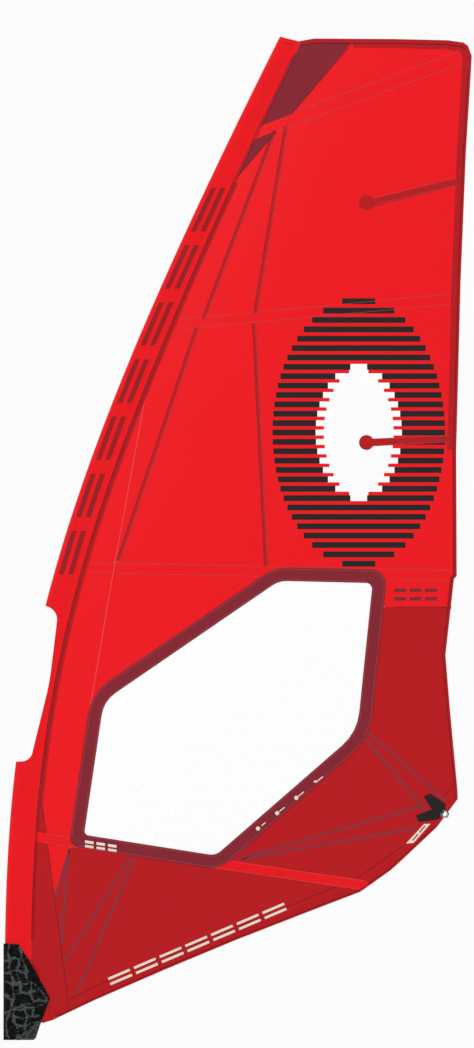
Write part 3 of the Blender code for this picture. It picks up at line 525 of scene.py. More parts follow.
def glass_fibre(name, colour):
    """A pultruded rod, with fibres along it under clear resin."""
    made, tree, shader = blank(name, colour, 0.35, specular=0.5)
    fibres = noise_of(tree, 20.0, 5.0, stretched(tree, (1, 60, 60)))
    tree.links.new(tinted(tree, colour, 0.55, fibres, 0.8), shader.inputs["Base Color"])
    rough_with(tree, shader, 0.25, 0.25, fibres)
    return made


def fairing_cloth(name, colour):
    """Black cover cloth, grey along its raised ribs, over a fine crackle."""
    made, tree, shader = blank(name, colour, 0.7, specular=0.06)
    drawn = stretched(tree, (1, 1, 1.8))
    # The base colour turns grey along the raised ribs and on the plain corner, from the rib
    # attribute.
    rib_grey = add(tree, "ShaderNodeAttribute", attribute_name="rib").outputs["Fac"]
    scratch = noise_of(tree, 75.0, 6.0, drawn, Roughness=0.7, Distortion=1.2)
    cells = add(tree, "ShaderNodeTexVoronoi", [("Scale", 32.0)], [("Vector", drawn)],
                feature="DISTANCE_TO_EDGE")
    edge = add(tree, "ShaderNodeMapRange", [("From Max", 0.12), ("To Min", 0.22), ("To Max", 0.0)],
               [("Value", cells.outputs["Distance"])])
    both = maths(tree, "ADD", maths(tree, "MULTIPLY", rib_grey, 0.46), scratch)
    both = maths(tree, "ADD", both, edge.outputs["Result"])
    ramp = add(tree, "ShaderNodeMapRange", [("From Min", 0.68), ("From Max", 0.96)],
               [("Value", both)])
    mix = add(tree, "ShaderNodeMix", data_type="RGBA")
    mix.inputs["A"].default_value = (0.0025, 0.003, 0.003, 1)
    mix.inputs["B"].default_value = (0.066, 0.074, 0.074, 1)
    tree.links.new(ramp.outputs["Result"], mix.inputs["Factor"])
    tree.links.new(mix.outputs["Result"], shader.inputs["Base Color"])
    weave = group_node(tree, "weave", weave_group, [("Thread", 0.0014)])
    rough_with(tree, shader, 0.6, 0.2, weave["Mottle"])
    bump(tree, shader, weave["Height"], 0.0003, 0.6)
    return made


# Each finish's maker, its colour or the name of one in the sidebar, and its other settings.
TAPE = {"thread": 0.0014}
FINE = {"thread": 0.0008, "depth": 0.0002}
PRINT = {"thread": 0.0011, "roughness": 0.45}
FINISHES = {
    "bright_film": (film, "bright", {}),
    "dark_film": (film, "dark", {}),
    "clear_film": (clear_film, (0.96, 0.97, 0.98), {}),
    "bright_cloth": (cloth, "bright", {"depth": 0.00025}),
    "dark_cloth": (cloth, "dark", {}),
    "tape_cloth": (cloth, "tape", TAPE),
    "maroon_cloth": (cloth, "maroon", TAPE),
    "load_cloth": (cloth, "load", TAPE),
    "thread": (cloth, "thread", FINE),
    "dark_thread": (cloth, "dark_thread", FINE),
    "pale_thread": (cloth, (0.74, 0.15, 0.17), FINE),
    "edge_thread": (cloth, (0.10, 0.006, 0.010), FINE),
    "webbing": (cloth, (0.018, 0.016, 0.017), {"thread": 0.0032, "roughness": 0.8,
                                               "depth": 0.0008}),
    "ink": (cloth, "ink", PRINT),
    "white_print": (cloth, (0.98, 0.98, 0.98), PRINT),
    "cream_print": (cloth, "cream", PRINT),
    "dark_print": (cloth, (0.30, 0.010, 0.014), {"thread": 0.0011, "roughness": 0.5}),
    "maroon_print": (cloth, (0.20, 0.020, 0.030), {"thread": 0.0011, "roughness": 0.5}),
    "nylon": (moulded, (0.018, 0.018, 0.019), {}),
    "sheave_nylon": (moulded, (0.05, 0.05, 0.052), {"roughness": 0.35}),
    "ring_steel": (steel, (0.27, 0.27, 0.28), {"roughness": 0.20}),
    "block_steel": (steel, (0.58, 0.59, 0.60), {"roughness": 0.32}),
    "glass_fibre": (glass_fibre, (0.72, 0.68, 0.52), {}),
    "fairing_cloth": (fairing_cloth, (0.012, 0.012, 0.013), {}),
}


def finish_of(name):
    """A finish's material, made the first time that it is asked for."""
    if f"sail_{name}" in bpy.data.materials:
        return bpy.data.materials[f"sail_{name}"]
    maker, colour, settings = FINISHES[name]
    if isinstance(colour, str):
        colour = getattr(bpy.context.scene.sail_colours, colour)[:]
    return maker(name, colour, **settings)


# --- making pieces ---


def piece_from(bm, name, finish, body="root", smooth=30):
    """A finished piece from a mesh: its material, its shading and the body it rides on."""
    mesh = bpy.data.meshes.new(name)
    bm.to_mesh(mesh)
    bm.free()
    obj = bpy.data.objects.new(name, mesh)
    bpy.context.scene.collection.objects.link(obj)
    mesh.materials.append(finish_of(finish))
    mesh.shade_smooth()
    mesh.set_sharp_from_angle(angle=math.radians(smooth))
    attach(obj, body)
    return obj


def flat(outlines):
    """Flat faces in the XZ plane; an outline inside another is a hole."""
    curve = bpy.data.curves.new("outline", "CURVE")
    curve.dimensions = "2D"
    curve.fill_mode = "BOTH"
    for outline in outlines:
        spline = curve.splines.new("POLY")
        spline.points.add(len(outline) - 1)
        for point, (x, z) in zip(spline.points, outline):
            point.co = (x, z, 0, 1)
        spline.use_cyclic_u = True
    obj = bpy.data.objects.new("outline", curve)
    bpy.context.scene.collection.objects.link(obj)
    bpy.context.view_layer.update()
    graph = bpy.context.evaluated_depsgraph_get()
    mesh = bpy.data.meshes.new_from_object(obj.evaluated_get(graph))
    bpy.data.objects.remove(obj)
    bpy.data.curves.remove(curve)
    bm = bmesh.new()
    bm.from_mesh(mesh)
    bpy.data.meshes.remove(mesh)
    bmesh.ops.remove_doubles(bm, verts=bm.verts, dist=MERGE)
    bmesh.ops.rotate(bm, verts=bm.verts, matrix=Matrix.Rotation(math.pi / 2, 3, "X"))
    return bm


def cut(bm, point, normal, clear=False):
    bmesh.ops.bisect_plane(bm, geom=[*bm.verts, *bm.edges, *bm.faces], dist=MERGE,
                           plane_co=point, plane_no=normal, clear_outer=clear)


def cut_grid(bm, step=None):
    """Cuts a sheet along upright and level lines, so that it can bend."""
    step = step or bpy.context.scene.sail_sizes.grid
    for axis in (0, 2):
        spots = [vert.co[axis] for vert in bm.verts]
        normal = Vector([float(i == axis) for i in range(3)])
        for k in range(math.floor(min(spots) / step) + 1, math.ceil(max(spots) / step)):
            cut(bm, normal * k * step, normal)


def thicken(bm, thickness):
    """Gives flat faces a thickness towards starboard."""
    made = bmesh.ops.extrude_face_region(bm, geom=bm.faces[:])["geom"]
    verts = [item for item in made if isinstance(item, bmesh.types.BMVert)]
    bmesh.ops.translate(bm, verts=verts, vec=(0, thickness, 0))
    bmesh.ops.recalc_face_normals(bm, faces=bm.faces)


def places(bm):
    return np.array([vert.co for vert in bm.verts])


def set_y(bm, heights):
    for vert, y in zip(bm.verts, heights):
        vert.co.y = float(y)


def laid(outlines, lift, thickness=THIN, side=-1):
    """Thin faces laid on the sail's surface, this far off it, on the port side by default."""
    bm = flat(outlines)
    cut_grid(bm)
    at = places(bm)
    low = lift if side > 0 else -lift - thickness
    set_y(bm, settled(at[:, 0], at[:, 2]) + low)
    thicken(bm, thickness)
    return bm


def one_side(piece):
    """The area of one face of a thin closed piece."""
    return sum(face.area for face in piece.data.polygons) / 2


def declare_cloth(piece, band=None):
    """Works out a piece's width and length as a flat cut of cloth: a band of this width, or the
    rectangle round it. The sizes are not kept; the piece comes back unchanged.
    """
    at = np.array([(vert.co.x, vert.co.z) for vert in piece.data.vertices])
    area = one_side(piece)
    if band:
        width, length = band, area / band
    else:
        turns = np.radians(range(0, 180, 2))
        waists = [np.ptp(at @ (math.cos(turn), math.sin(turn))) for turn in turns]
        quarter = len(turns) // 2
        sizes = zip(waists, waists[quarter:] + waists[:quarter])
        width, length = sorted(min(sizes, key=math.prod))
    return piece


def copied(node):
    """A merged copy of a frame node's mesh."""
    bm = bmesh.new()
    bm.from_mesh(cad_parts[node].data)
    bmesh.ops.remove_doubles(bm, verts=bm.verts, dist=MERGE)
    return bm


def settle(node, finish, band=None):
    """The sheet that stands for a frame node: a copy, cut finer and settled on the surface.

    A pocket's crest isn't pressed in past the frame's, so its batten stays inside it.
    """
    bm = copied(node)
    cut_grid(bm)
    at = places(bm)
    flat_y = folded(at[:, 0], at[:, 2])
    heights = at[:, 1] + settled(at[:, 0], at[:, 2]) - flat_y
    crest = at[:, 1] - flat_y > CREST
    set_y(bm, np.where(crest, np.maximum(heights, at[:, 1]), heights))
    piece = piece_from(bm, f"{node}_cloth", finish)
    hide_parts(node)
    return declare_cloth(piece, band)


def applied(name, outlines, finish, lift=SEAM_LIFT, thickness=THIN, side=-1, band=None):
    """A tape or a patch sewn on the film."""
    piece = piece_from(laid(outlines, lift, thickness, side), name, finish)
    return declare_cloth(piece, band)


def printed(name, outlines, finish, lift=PRINT_LIFT):
    """A print: many small thin faces on the port side."""
    return piece_from(laid(outlines, lift, INK), name, finish)


def box_strip(bm, start, end, width, lift, side=-1):
    """One stitch: a small box lying on the surface."""
    way = (Vector(end) - Vector(start)).normalized()
    off = Vector((-way.y, way.x)) * width / 2
    ends = [Vector(start) + off, Vector(end) + off, Vector(end) - off, Vector(start) - off]
    base = settled([p.x for p in ends], [p.y for p in ends])
    low, high = (
        [bm.verts.new((p.x, y + side * off, p.y)) for p, y in zip(ends, base)]
        for off in (lift, lift + STITCH_HEIGHT)
    )
    bm.faces.new(low)
    bm.faces.new(high[::-1])
    for i in range(4):
        k = (i + 1) % 4
        bm.faces.new((low[i], high[i], high[k], low[k]))


def stitch_row(bm, line, lift, side=-1):
    """A row of zigzag stitches along a line of (x, z)."""
    sizes = bpy.context.scene.sail_sizes
    for start, end in zip(line, line[1:]):
        span = math.dist(start, end)
        count = int(span / sizes.stitch)
        if count < 1:
            continue
        way = (Vector(end) - Vector(start)) / span
        off = Vector((-way.y, way.x)) * sizes.zigzag / 2
        for k in range(count):
            sign = 1 if k % 2 else -1
            first = Vector(start) + way * span * k / count - off * sign
            last = Vector(start) + way * span * (k + 1) / count + off * sign
            box_strip(bm, first, last, sizes.thread_width, lift, side)


def fine_row(bm, line, lift, width=0.0018):
    """A fine straight row, in lengths short enough to follow the surface."""
    for start, end in zip(line, line[1:]):
        count = max(1, math.ceil(math.dist(start, end) / 0.015))
        for k in range(count):
            box_strip(bm, between(start, end, k / count), between(start, end, (k + 1) / count),
                      width, lift)


def refinish(node, finish):
    """Gives a frame node that stays a better material."""
    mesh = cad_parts[node].data
    mesh.materials.clear()
    mesh.materials.append(finish_of(finish))


def deselect():
    for obj in bpy.context.selected_objects:
        obj.select_set(False)


# --- operators ---


class SAIL_OT_panels(bpy.types.Operator):
    """Settle the panels of film on the camber"""

    bl_idname = "sail.panels"
    bl_label = "Panels"

    def execute(self, context):
        for node in RED_PANELS:
            settle(node, "bright_film")
        for node in DARK_PANELS:
            settle(node, "dark_film")
        return {"FINISHED"}


class SAIL_OT_window(bpy.types.Operator):
    """Settle the window film and lay its frame over the edge"""

    bl_idname = "sail.window"
    bl_label = "Window"

    def execute(self, context):
        settle("window_film", "clear_film")
        settle("window_frame", "maroon_cloth", FRAME_BAND)
        inside = window_line(FRAME_BAND, inner=True)
        back_edge = shifted(inside, -0.040, closed=True)
        applied("window_frame_back", [back_edge, inside], "maroon_cloth",
                FILM_FACE + 0.0001, HEAVY, side=1, band=0.040)
        return {"FINISHED"}


class SAIL_OT_tapes(bpy.types.Operator):
    """Lay the patches, hems, seam tapes and load tapes on the film"""

    bl_idname = "sail.tapes"
    bl_label = "Patches and tapes"

    def execute(self, context):
        sizes = context.scene.sail_sizes
        for node, finish, slot, band in (
            ("head_patch_upper", "maroon_cloth", "maroon_tape", None),
            ("head_patch_lower", "maroon_cloth", "maroon_tape", None),
            ("leech_tape", "tape_cloth", "dark_tape", 0.018),
            ("foot_tape", "dark_cloth", "dark_tape", 0.030),
        ):
            settle(node, finish, band)
        for number, line in enumerate(SEAM_TAPES, 1):
            applied(f"seam_tape_{number}", [strip(line, sizes.seam_tape)], "tape_cloth",
                    band=sizes.seam_tape)
        for number, line in enumerate(LOAD_TAPES, 1):
            applied(f"load_tape_{number}", [strip(line, sizes.load_tape)], "load_cloth",
                    LOAD_LIFT, band=sizes.load_tape)
        self.luff_tape(sizes)
        self.leech_band()
        self.head_tape()
        self.foot_band()
        self.backing()
        return {"FINISHED"}

    def luff_tape(self, sizes):
        """A dark tape just behind the sleeve, from the head to the foot batten."""
        heights = np.linspace(3.43, 0.87, 44)
        width = sizes.seam_tape
        line = [(seam_x(z) + width / 2 + 0.001, z) for z in heights]
        applied("luff_tape", [strip(line, width)], "tape_cloth", LUFF_TAPE_LIFT,
                band=width)

    def leech_band(self):
        """A second, wider band inside the leech tape, from the head to the window."""
        inner, outer = 0.036, 0.012
        line = LEECH[:5]
        band = shifted(line, outer) + shifted(line, inner)[::-1]
        applied("leech_band", [band], "tape_cloth", band=inner - outer)

    def foot_band(self):
        """The bright band over the foot batten, from the sleeve to the leech."""
        start, end, width = BATTENS[3]
        slope = (end[1] - start[1]) / (end[0] - start[0])
        way = Vector((1, slope)).normalized()
        side = Vector((-way.y, way.x)) * width / 2
        ends = []
        for sign in (1, -1):
            low = Vector(start) + side * sign
            x = seam_x(low.y) + 0.001
            ends.append((x, low.y + slope * (x - low.x)))
        far = Vector(end)
        outline = [ends[0], tuple(far + side - way * 0.004), (1.440, 0.6185),
                   tuple(far - side - way * 0.030), ends[1]]
        piece = applied("foot_batten_band_cloth", [outline], "bright_cloth",
                        TAPE_FACE + 0.00005, 0.00015, band=width)
        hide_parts("foot_batten_band")

    def backing(self):
        """Tapes on the starboard face, behind the gap between two panels."""
        width = 0.016
        for finish, slot, lines in (
            ("bright_cloth", "red_cloth", RED_SEAMS), ("dark_cloth", "dark_film", DARK_SEAMS),
        ):
            for number, line in enumerate(lines, 1):
                applied(f"{finish.split('_')[0]}_backing_{number}", [strip(line, width)], finish,
                        FILM_FACE + 0.00004, 0.0002, side=1, band=width)

    def head_tape(self):
        """A folded tape round the head and its corner, with a second band inside it."""
        edge, inner = 0.016, 0.036
        line = list(HEAD)
        band = line + shifted(line, edge)[::-1]
        applied("head_tape_port", [band], "tape_cloth", TAPE_FACE + 0.00025,
                HEAVY, band=edge)
        back = HEAD[:-2]
        applied("head_tape_starboard", [list(back) + shifted(back, inner)[::-1]], "tape_cloth",
                BACK_LIFT, HEAVY, 1, inner)
        line = [(1.372, 4.0055), *HEAD[2:-1], *LEECH[:2]]
        applied("head_band", [shifted(line, edge - 0.002) + shifted(line, inner)[::-1]],
                "tape_cloth", TAPE_FACE, 0.00015, band=inner - edge)
        top = [(seam_x(3.952) + 0.003, 3.946), (1.350, 3.970), (1.374, 3.998), (1.166, 3.994)]
        applied("head_patch_top", [top], "maroon_cloth", TAPE_FACE, band=0.04)


def ellipse_half(level, height, width):
    """Half of an ellipse's width at this level above its middle."""
    return width * math.sqrt(max(1 - (level / height) ** 2, 0))


def bar(x0, x1, z0, z1):
    return [(x0, z0), (x1, z0), (x1, z1), (x0, z1)]


class SAIL_OT_prints(bpy.types.Operator):
    """Print the striped oval and the plain bars"""

    bl_idname = "sail.prints"
    bl_label = "Prints"

    centre = (1.395, 2.430)
    half = (0.345, 0.535)
    pitch = 0.0375
    core, thick, tooth = 0.50, 0.62, 0.033

    def execute(self, context):
        self.oval()
        self.sleeve_bars()
        self.foot_bars()
        self.small_bars()
        return {"FINISHED"}

    def oval(self):
        """Black level stripes round a white middle, whose edge is toothed like a comb."""
        (cx, cz), (width, height) = self.centre, self.half
        rows = int(height / self.pitch)
        black, white = [], []
        half = self.pitch * self.thick / 2
        for row in range(-rows, rows + 1):
            level = row * self.pitch
            outer = ellipse_half(level, height, width)
            inner = ellipse_half(level, height * self.core, width * self.core)
            z0, z1 = cz + level - half, cz + level + half
            if inner < self.tooth:
                black.append(bar(cx - outer, cx + outer, z0, z1))
                continue
            black.append(bar(cx - outer, cx - inner, z0, z1))
            black.append(bar(cx + inner, cx + outer, z0, z1))
            white.append(bar(cx - inner, cx + inner, z0, z1))
            short = ellipse_half(level + self.pitch / 2, height * self.core, width * self.core)
            if short > 1.5 * self.tooth:
                short -= self.tooth
                white.append(bar(cx - short, cx + short, z1, z1 + self.pitch - 2 * half))
        printed("oval_stripes", black, "ink")
        printed("oval_middle", white, "white_print")

    def sleeve_bars(self):
        """Seven pairs of plain bars up the sleeve."""
        rows = []
        count, first, last = 7, 1.84, 3.44
        step = (last - first) / count
        for k in range(count):
            low, high = first + step * (k + 0.10), first + step * (k + 0.86)
            for near, far in ((0.020, 0.040), (0.058, 0.078)):
                left = [(float(luff_curve(z)) + near, z) for z in np.linspace(low, high, 8)]
                right = [(float(luff_curve(z)) + far, z) for z in np.linspace(high, low, 8)]
                rows.append(left + right)
        printed_on_sleeve("sleeve_bars", rows, "dark_print")
        ends = (float(luff_curve(3.995)) + 0.006, seam_x(3.98) - 0.003)
        hem = [(x, 3.9946 - 0.247 * (x - 1.0732)) for x in ends]
        printed_on_sleeve("sleeve_hem_line", [strip(hem, 0.003)], "dark_print")

    def foot_bars(self):
        """Seven pairs of cream dashes along the foot."""
        rows = []
        start, end = (0.402, 0.212), (1.122, 0.520)
        for k in range(7):
            low, high = between(start, end, (k + 0.04) / 7), between(start, end, (k + 0.88) / 7)
            way = (Vector(high) - Vector(low)).normalized()
            side = Vector((-way.y, way.x))
            for near, width in ((0.006, 0.010), (0.028, 0.010)):
                first = [tuple(Vector(p) + side * near) for p in (low, high)]
                second = [tuple(Vector(p) + side * (near + width)) for p in (high, low)]
                rows.append(first + second)
        printed("foot_bars", rows, "cream_print", MARK_LIFT)

    def small_bars(self):
        """The small marks: on the frame, on the leech patch and by the clew."""
        marks = []
        long, high, slope = 0.034, 0.011, 0.005
        for k in range(3):
            x = 0.300 + k * 0.046
            for z in (0.770 - k * 0.0072, 0.788 - k * 0.0072):
                marks.append([(x, z), (x + long, z - slope), (x + long, z - slope + high),
                              (x, z + high)])
        for k in range(4):
            spot = between((0.992, 0.846), (1.222, 1.030), k / 3)
            marks.append(arc(spot, 0.0085, 0, 330, 11))
            dash = between(spot, (1.222, 1.030), 0.06), (spot[0] + 0.030, spot[1] + 0.024)
            marks.append(strip(dash, 0.004))
        printed("frame_bars", marks, "cream_print", FRAME_FACE + 0.00005)
        marks = [bar(1.536 + k * 0.062, 1.584 + k * 0.062, z, z + 0.014)
                 for k in range(3) for z in (1.758, 1.792)]
        printed("leech_bars", marks, "maroon_print")
        label = [(1.584, 0.786), (1.614, 0.788), (1.682, 0.865), (1.656, 0.864)]
        printed("clew_label", [label], "cream_print", MARK_LIFT)
        lines = (((1.610, 0.798), (1.632, 0.8235)), ((1.638, 0.8305), (1.660, 0.856)))
        printed("clew_label_bars", [strip(line, 0.005) for line in lines], "load_cloth",
                MARK_LIFT + 0.0002)


def wall_y(x, z):
    """The height of the sleeve's port wall at a point behind the mast's axis."""
    axis, lap = float(luff_curve(z)) + NOSE, seam_x(z) - SLEEVE_LAP
    share = float(np.clip((x - axis) / (lap - axis), 0, 1))
    at_lap = float(settled(lap, z)) - FILM_FACE - 0.0003 - SLEEVE_WALL
    if x < axis:
        return -math.sqrt(max(NOSE**2 - (x - axis) ** 2, 0))
    return -NOSE * (1 - share) + at_lap * share - WALL_FULLNESS * math.sin(math.pi * share)


def printed_on_sleeve(name, outlines, finish):
    """Thin faces that follow the port wall of the sleeve."""
    bm = flat(outlines)
    cut_grid(bm, 0.02)
    depth = 0.0004
    set_y(bm, [wall_y(x, z) - depth for x, _, z in places(bm)])
    thicken(bm, depth)
    return piece_from(bm, name, finish)


class SAIL_OT_stitching(bpy.types.Operator):
    """Sew the seams"""

    bl_idname = "sail.stitching"
    bl_label = "Stitching"

    def execute(self, context):
        self.port_rows()
        self.starboard_rows()
        self.fine_rows()
        return {"FINISHED"}

    def finished(self, bm, name, finish):
        bmesh.ops.recalc_face_normals(bm, faces=bm.faces)
        piece_from(bm, name, finish)

    def port_rows(self):
        bm = bmesh.new()
        on_tape, on_frame = TAPE_FACE + HEAVY, FRAME_FACE + 0.0001
        for start, end, width in BATTENS[:3]:
            share = (seam_x(start[1]) + 0.03 - start[0]) / (end[0] - start[0])
            first = between(start, end, max(share, 0))
            for side in (-0.5, 0.5):
                stitch_row(bm, shifted((first, end), side * width), THREAD_LIFT)
        start, end, width = BATTENS[3]
        for side in (-0.42, 0.42):
            stitch_row(bm, shifted((between(start, end, 0.03), end), side * width), on_tape)
        for line in SEAM_TAPES:
            stitch_row(bm, shifted(line, -0.006), THREAD_LIFT)
        for inset in (0.006, FRAME_BAND - 0.006):
            ring = window_line(inset, inner=inset > FRAME_BAND / 2)
            stitch_row(bm, [*ring, ring[0]], on_frame)
        for start, end, width in MINI_BATTENS:
            for side in (-0.5, 0.5):
                stitch_row(bm, shifted((between(start, end, 0.08), end), side * width), on_tape)
        self.finished(bm, "stitching_port", "thread")
        bm = bmesh.new()
        stitch_row(bm, LUFF_SEAM, THREAD_LIFT)
        self.finished(bm, "luff_seam_stitching", "pale_thread")

    def starboard_rows(self):
        bm = bmesh.new()
        for start, end, width in BATTENS:
            first, last = between(start, end, 0.10), between(start, end, 0.955)
            for side in (-0.41, 0.41):
                stitch_row(bm, shifted((first, last), side * min(width, 0.042)), 0.0014, side=1)
        stitch_row(bm, shifted(sleeve_seam(), -0.006), HEM_FACE, side=1)
        for inset in (0.004, 0.036):
            ring = shifted(window_line(FRAME_BAND, inner=True), inset - 0.040, closed=True)
            stitch_row(bm, [*ring, ring[0]], FILM_FACE + 0.0005, side=1)
        self.finished(bm, "stitching_starboard", "thread")

    def fine_rows(self):
        bm = bmesh.new()
        for line in FINE_SEAMS:
            fine_row(bm, line, THREAD_LIFT)
        for line in PATCH_EDGES:
            fine_row(bm, line, TAPE_FACE + INK)
        stitch_row(bm, shifted(sleeve_seam(), -0.006), HEM_FACE)
        self.finished(bm, "fine_stitching", "dark_thread")
        bm = bmesh.new()
        for line, inset, lift, width in (
            (LEECH[1:], 0.010, TAPE_FACE + INK, 0.0026),
            (FOOT, 0.008, TAPE_FACE + INK, 0.0026),
            (HEAD[:-1], 0.018, 0.0014, 0.0026),
            (sleeve_seam(), 0.0018, HEM_FACE, 0.0022),
        ):
            fine_row(bm, shifted(line, inset), lift, width)
        self.finished(bm, "edge_stitching", "edge_thread")


class SAIL_OT_sleeve(bpy.types.Operator):
    """Sew the mast sleeve and cut it out for the boom"""

    bl_idname = "sail.sleeve"
    bl_label = "Mast sleeve"

    rows = 84
    top = 4.045
    cut_size = (0.26, 4.05)
    # The slanting cut at the head: a point on it and its upward normal.
    head_cut = ((1.078, 0, 4.014), (0.24, 0, 0.971))
    nose_turn, nose_steps = 96, 20

    def execute(self, context):
        obj = self.loft()
        deselect()
        obj.select_set(True)
        context.view_layer.objects.active = obj
        wall = obj.modifiers.new("wall", "SOLIDIFY")
        wall.thickness = SLEEVE_WALL
        wall.offset = 1
        wall.use_even_offset = True
        bpy.ops.object.modifier_apply(modifier="wall")
        cutter = self.cutter()
        hole = obj.modifiers.new("boom", "BOOLEAN")
        hole.operation = "DIFFERENCE"
        hole.object = cutter
        bpy.ops.object.modifier_apply(modifier="boom")
        bpy.data.objects.remove(cutter)
        obj.data.shade_smooth()
        obj.data.set_sharp_from_angle(angle=math.radians(35))
        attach(obj, "root")
        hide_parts("luff_sleeve")
        refinish("head_cap", "nylon")
        return {"FINISHED"}

    def loft(self):
        clear = FILM_FACE + 0.0003
        nose = arc((0, 0), NOSE - SLEEVE_WALL, -self.nose_turn, self.nose_turn - 360,
                   self.nose_steps)
        bm = bmesh.new()
        rings = []
        for z in np.linspace(SLEEVE_FOOT, self.top, self.rows):
            axis, tail = float(luff_curve(z)) + NOSE, seam_x(z)
            lap = tail - SLEEVE_LAP
            level = {x: float(settled(x, z)) for x in (lap, tail)}
            round_mast = [(axis + x, y) for x, y in nose]
            ring = [(tail, level[tail] - clear), (lap, level[lap] - clear)]
            ring += self.wall((lap, level[lap] - clear), round_mast[0])
            ring += round_mast
            ring += self.wall(round_mast[-1], (lap, level[lap] + clear))
            ring += [(lap, level[lap] + clear), (tail, level[tail] + clear)]
            rings.append([bm.verts.new((x, y, z)) for x, y in ring])
        for low, high in zip(rings, rings[1:]):
            for i in range(len(low) - 1):
                bm.faces.new((low[i], high[i], high[i + 1], low[i + 1]))
        cut(bm, *(Vector(part) for part in self.head_cut), clear=True)
        mesh = bpy.data.meshes.new("mast_sleeve")
        bm.to_mesh(mesh)
        bm.free()
        obj = bpy.data.objects.new("mast_sleeve", mesh)
        bpy.context.scene.collection.objects.link(obj)
        mesh.materials.append(finish_of("bright_cloth"))
        return obj

    def wall(self, start, end):
        """Points between two places on a wall, with a slight fullness."""
        found = []
        out = 1 if end[1] + start[1] > 0 else -1
        for share in (0.2, 0.4, 0.6, 0.8):
            x, y = between(start, end, share)
            found.append((x, y + out * WALL_FULLNESS * math.sin(math.pi * share)))
        return found

    def cutter(self):
        bm = flat([rounded(CUT_OUT)])
        bmesh.ops.translate(bm, verts=bm.verts, vec=(0, -0.1, 0))
        thicken(bm, 0.2)
        mesh = bpy.data.meshes.new("cutter")
        bm.to_mesh(mesh)
        bm.free()
        obj = bpy.data.objects.new("cutter", mesh)
        bpy.context.scene.collection.objects.link(obj)
        return obj


class SAIL_OT_battens(bpy.types.Operator):
    """Settle the batten pockets and mark the short battens on the port face"""

    bl_idname = "sail.battens"
    bl_label = "Battens and pockets"

    def execute(self, context):
        for number in range(1, 5):
            settle(f"batten_pocket_{number}", "bright_cloth", 0.05)
            refinish(f"batten_{number}", "glass_fibre")
        for number, (start, end, width) in enumerate(MINI_BATTENS, 1):
            settle(f"mini_batten_pocket_{number}", "tape_cloth", width)
            refinish(f"mini_batten_{number}", "glass_fibre")
            outline = shifted((start, end), -width / 2), shifted((start, end), width / 2)
            around = arc((start[0] + 0.002, start[1]), 0.030, 30, 330, 22)
            patch = [*around, outline[1][1], outline[0][1]]
            applied(f"mini_batten_patch_{number}", [patch], "tape_cloth", PATCH_LIFT,
                    band=width)
        return {"FINISHED"}


class SAIL_OT_tensioners(bpy.types.Operator):
    """Finish the batten tensioners"""

    bl_idname = "sail.tensioners"
    bl_label = "Batten tensioners"

    def execute(self, context):
        for number in range(1, 5):
            refinish(f"tensioner_housing_{number}", "nylon")
            refinish(f"tensioner_cup_{number}", "sheave_nylon")
            refinish(f"tensioner_screw_{number}", "block_steel")
        return {"FINISHED"}


class SAIL_OT_clew(bpy.types.Operator):
    """Finish the clew webbing and its rings"""

    bl_idname = "sail.clew"
    bl_label = "Clew"

    def execute(self, context):
        for side in ("port", "starboard"):
            refinish(f"clew_webbing_{side}", "webbing")
            refinish(f"clew_ring_{side}", "ring_steel")
        return {"FINISHED"}


class SAIL_OT_tack(bpy.types.Operator):
    """Finish the tack webbing and its block"""

    bl_idname = "sail.tack"
    bl_label = "Tack block"

    def execute(self, context):
        refinish("tack_webbing", "webbing")
        refinish("tack_block_frame", "block_steel")
        refinish("tack_axle", "ring_steel")
        for number in (1, 2, 3):
            refinish(f"tack_sheave_{number}", "sheave_nylon")
        return {"FINISHED"}


class SAIL_OT_fairing(bpy.types.Operator):
    """Pad and print the tack fairing"""

    bl_idname = "sail.fairing"
    bl_label = "Tack fairing"

    def execute(self, context):
        self.pad("fairing_port", "fairing_flap", -1)
        self.pad("fairing_starboard", "root", 1)
        return {"FINISHED"}

    def pad(self, node, body, side):
        """The frame's cover, cut finer, with its ribs raised and marked for the cloth."""
        bm = copied(node)
        cut_grid(bm, 0.005)
        bm.normal_update()
        ribs = self.ribs(places(bm)[:, (0, 2)])
        normals = [vert.normal.copy() for vert in bm.verts]
        for vert, normal, rib in zip(bm.verts, normals, ribs):
            if normal.y * side > 0.3:
                vert.co += normal * RIB_HEIGHT * rib
        piece = piece_from(bm, f"{node}_pad", "fairing_cloth", body, smooth=50)
        marks = piece.data.attributes.new("rib", "FLOAT", "POINT")
        marks.data.foreach_set("value", np.maximum(ribs, self.plain(piece)).astype(np.float32))
        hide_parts(node)

    def ribs(self, spots):
        """How close each (x, z) is to a rib, from 0 to 1."""
        x, z = spots.T
        warp = np.array([np.sin(95 * z + 40 * x), np.sin(110 * x + 30 * z)]).T
        spots = spots + 0.0028 * warp
        best = np.full(len(spots), 1.0)
        for line in RIBS:
            for start, end in zip(np.array(line), np.array(line[1:])):
                way = end - start
                share = np.clip((spots - start) @ way / (way @ way), 0, 1)
                away = np.linalg.norm(spots - start - share[:, None] * way, axis=1)
                best = np.minimum(best, away)
        width = RIB_WIDTH * (1 + 0.5 * np.sin(61 * x + 83 * z))
        return np.exp(-((best / width) ** 2))

    def plain(self, piece):
        """The grey of the plain bottom corner."""
        spots = np.array([(vert.co.x, vert.co.z) for vert in piece.data.vertices])
        (x0, z0), (x1, z1) = PLAIN_CORNER
        below = (spots[:, 0] - x0) * (z1 - z0) - (spots[:, 1] - z0) * (x1 - x0)
        return np.where(below > 0, 0.62, 0)


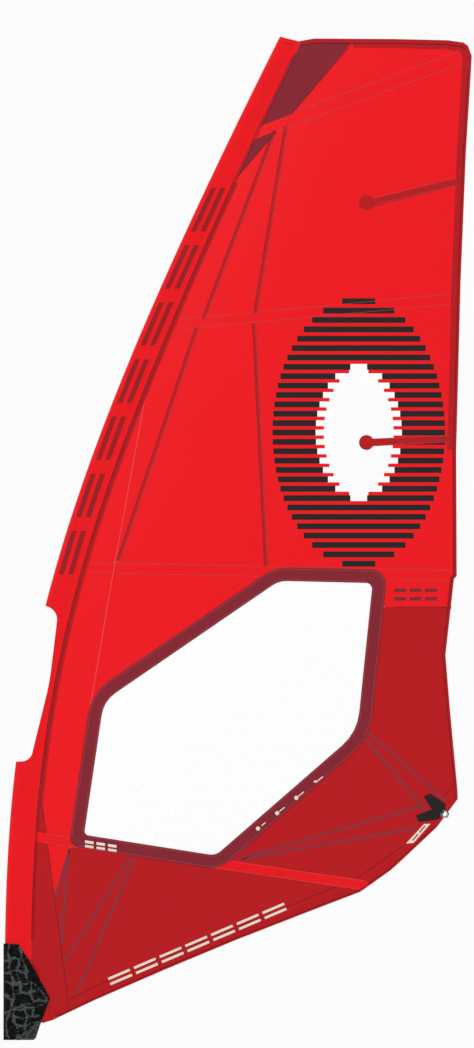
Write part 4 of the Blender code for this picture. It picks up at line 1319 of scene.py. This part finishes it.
class SAIL_OT_stage(bpy.types.Operator):
    """Set the backdrop, the lights and the camera"""

    bl_idname = "sail.stage"
    bl_label = "Stage"

    def execute(self, context):
        deselect()
        bpy.ops.mesh.primitive_plane_add(size=60, location=(0.9, 0, FLOOR))
        floor = context.object
        floor.name = "floor"
        floor.data.materials.append(blank("floor", (0.93, 0.93, 0.93), 0.9, specular=0.0)[0])
        self.light("key", (-3.5, -7.0, 6.5), 3.5, 120)
        self.light("back", (4.5, 6.0, 6.5), 4.0, 120)
        world = context.scene.world or bpy.data.worlds.new("world")
        context.scene.world = world
        world.use_nodes = True
        sky = world.node_tree.nodes["Background"].inputs
        sky["Color"].default_value = (1, 1, 1, 1)
        sky["Strength"].default_value = 0.97
        context.scene.view_settings.view_transform = "Standard"
        data = bpy.data.cameras.new("camera")
        data.type = "ORTHO"
        data.ortho_scale = 4.192
        camera = bpy.data.objects.new("camera", data)
        camera.location = (0.908, -9.0, 2.064)
        camera.rotation_euler = (math.pi / 2, 0, 0)
        context.scene.collection.objects.link(camera)
        context.scene.camera = camera
        return {"FINISHED"}

    def light(self, name, spot, size, power):
        data = bpy.data.lights.new(name, "AREA")
        data.size = size
        data.energy = power
        obj = bpy.data.objects.new(name, data)
        obj.location = spot
        aim = Vector((0.9, 0, 2.0)) - Vector(spot)
        obj.rotation_euler = aim.to_track_quat("-Z", "Y").to_euler()
        bpy.context.scene.collection.objects.link(obj)


class SAIL_PT_sail(bpy.types.Panel):
    """The steps that build the sail"""

    bl_label = "Wave sail"
    bl_space_type = "VIEW_3D"
    bl_region_type = "UI"
    bl_category = "Sail"

    def draw(self, context):
        for group in (context.scene.sail_colours, context.scene.sail_sizes):
            box = self.layout.box()
            for key in group.bl_rna.properties.keys():
                if key not in ("rna_type", "name"):
                    box.prop(group, key)
        for step in STEPS:
            self.layout.operator(step.bl_idname)


STEPS = (
    SAIL_OT_stage, SAIL_OT_panels, SAIL_OT_window, SAIL_OT_tapes, SAIL_OT_battens, SAIL_OT_sleeve,
    SAIL_OT_prints, SAIL_OT_stitching, SAIL_OT_tensioners, SAIL_OT_clew, SAIL_OT_tack,
    SAIL_OT_fairing,
)
CLASSES = (SailColours, SailSizes, *STEPS, SAIL_PT_sail)


def register():
    for made in CLASSES:
        bpy.utils.register_class(made)
    bpy.types.Scene.sail_colours = bpy.props.PointerProperty(type=SailColours)
    bpy.types.Scene.sail_sizes = bpy.props.PointerProperty(type=SailSizes)


def unregister():
    del bpy.types.Scene.sail_sizes
    del bpy.types.Scene.sail_colours
    for made in reversed(CLASSES):
        bpy.utils.unregister_class(made)


def main():
    register()
    for step in STEPS:
        group, name = step.bl_idname.split(".")
        getattr(getattr(bpy.ops, group), name)()


if __name__ == "__main__":
    main()
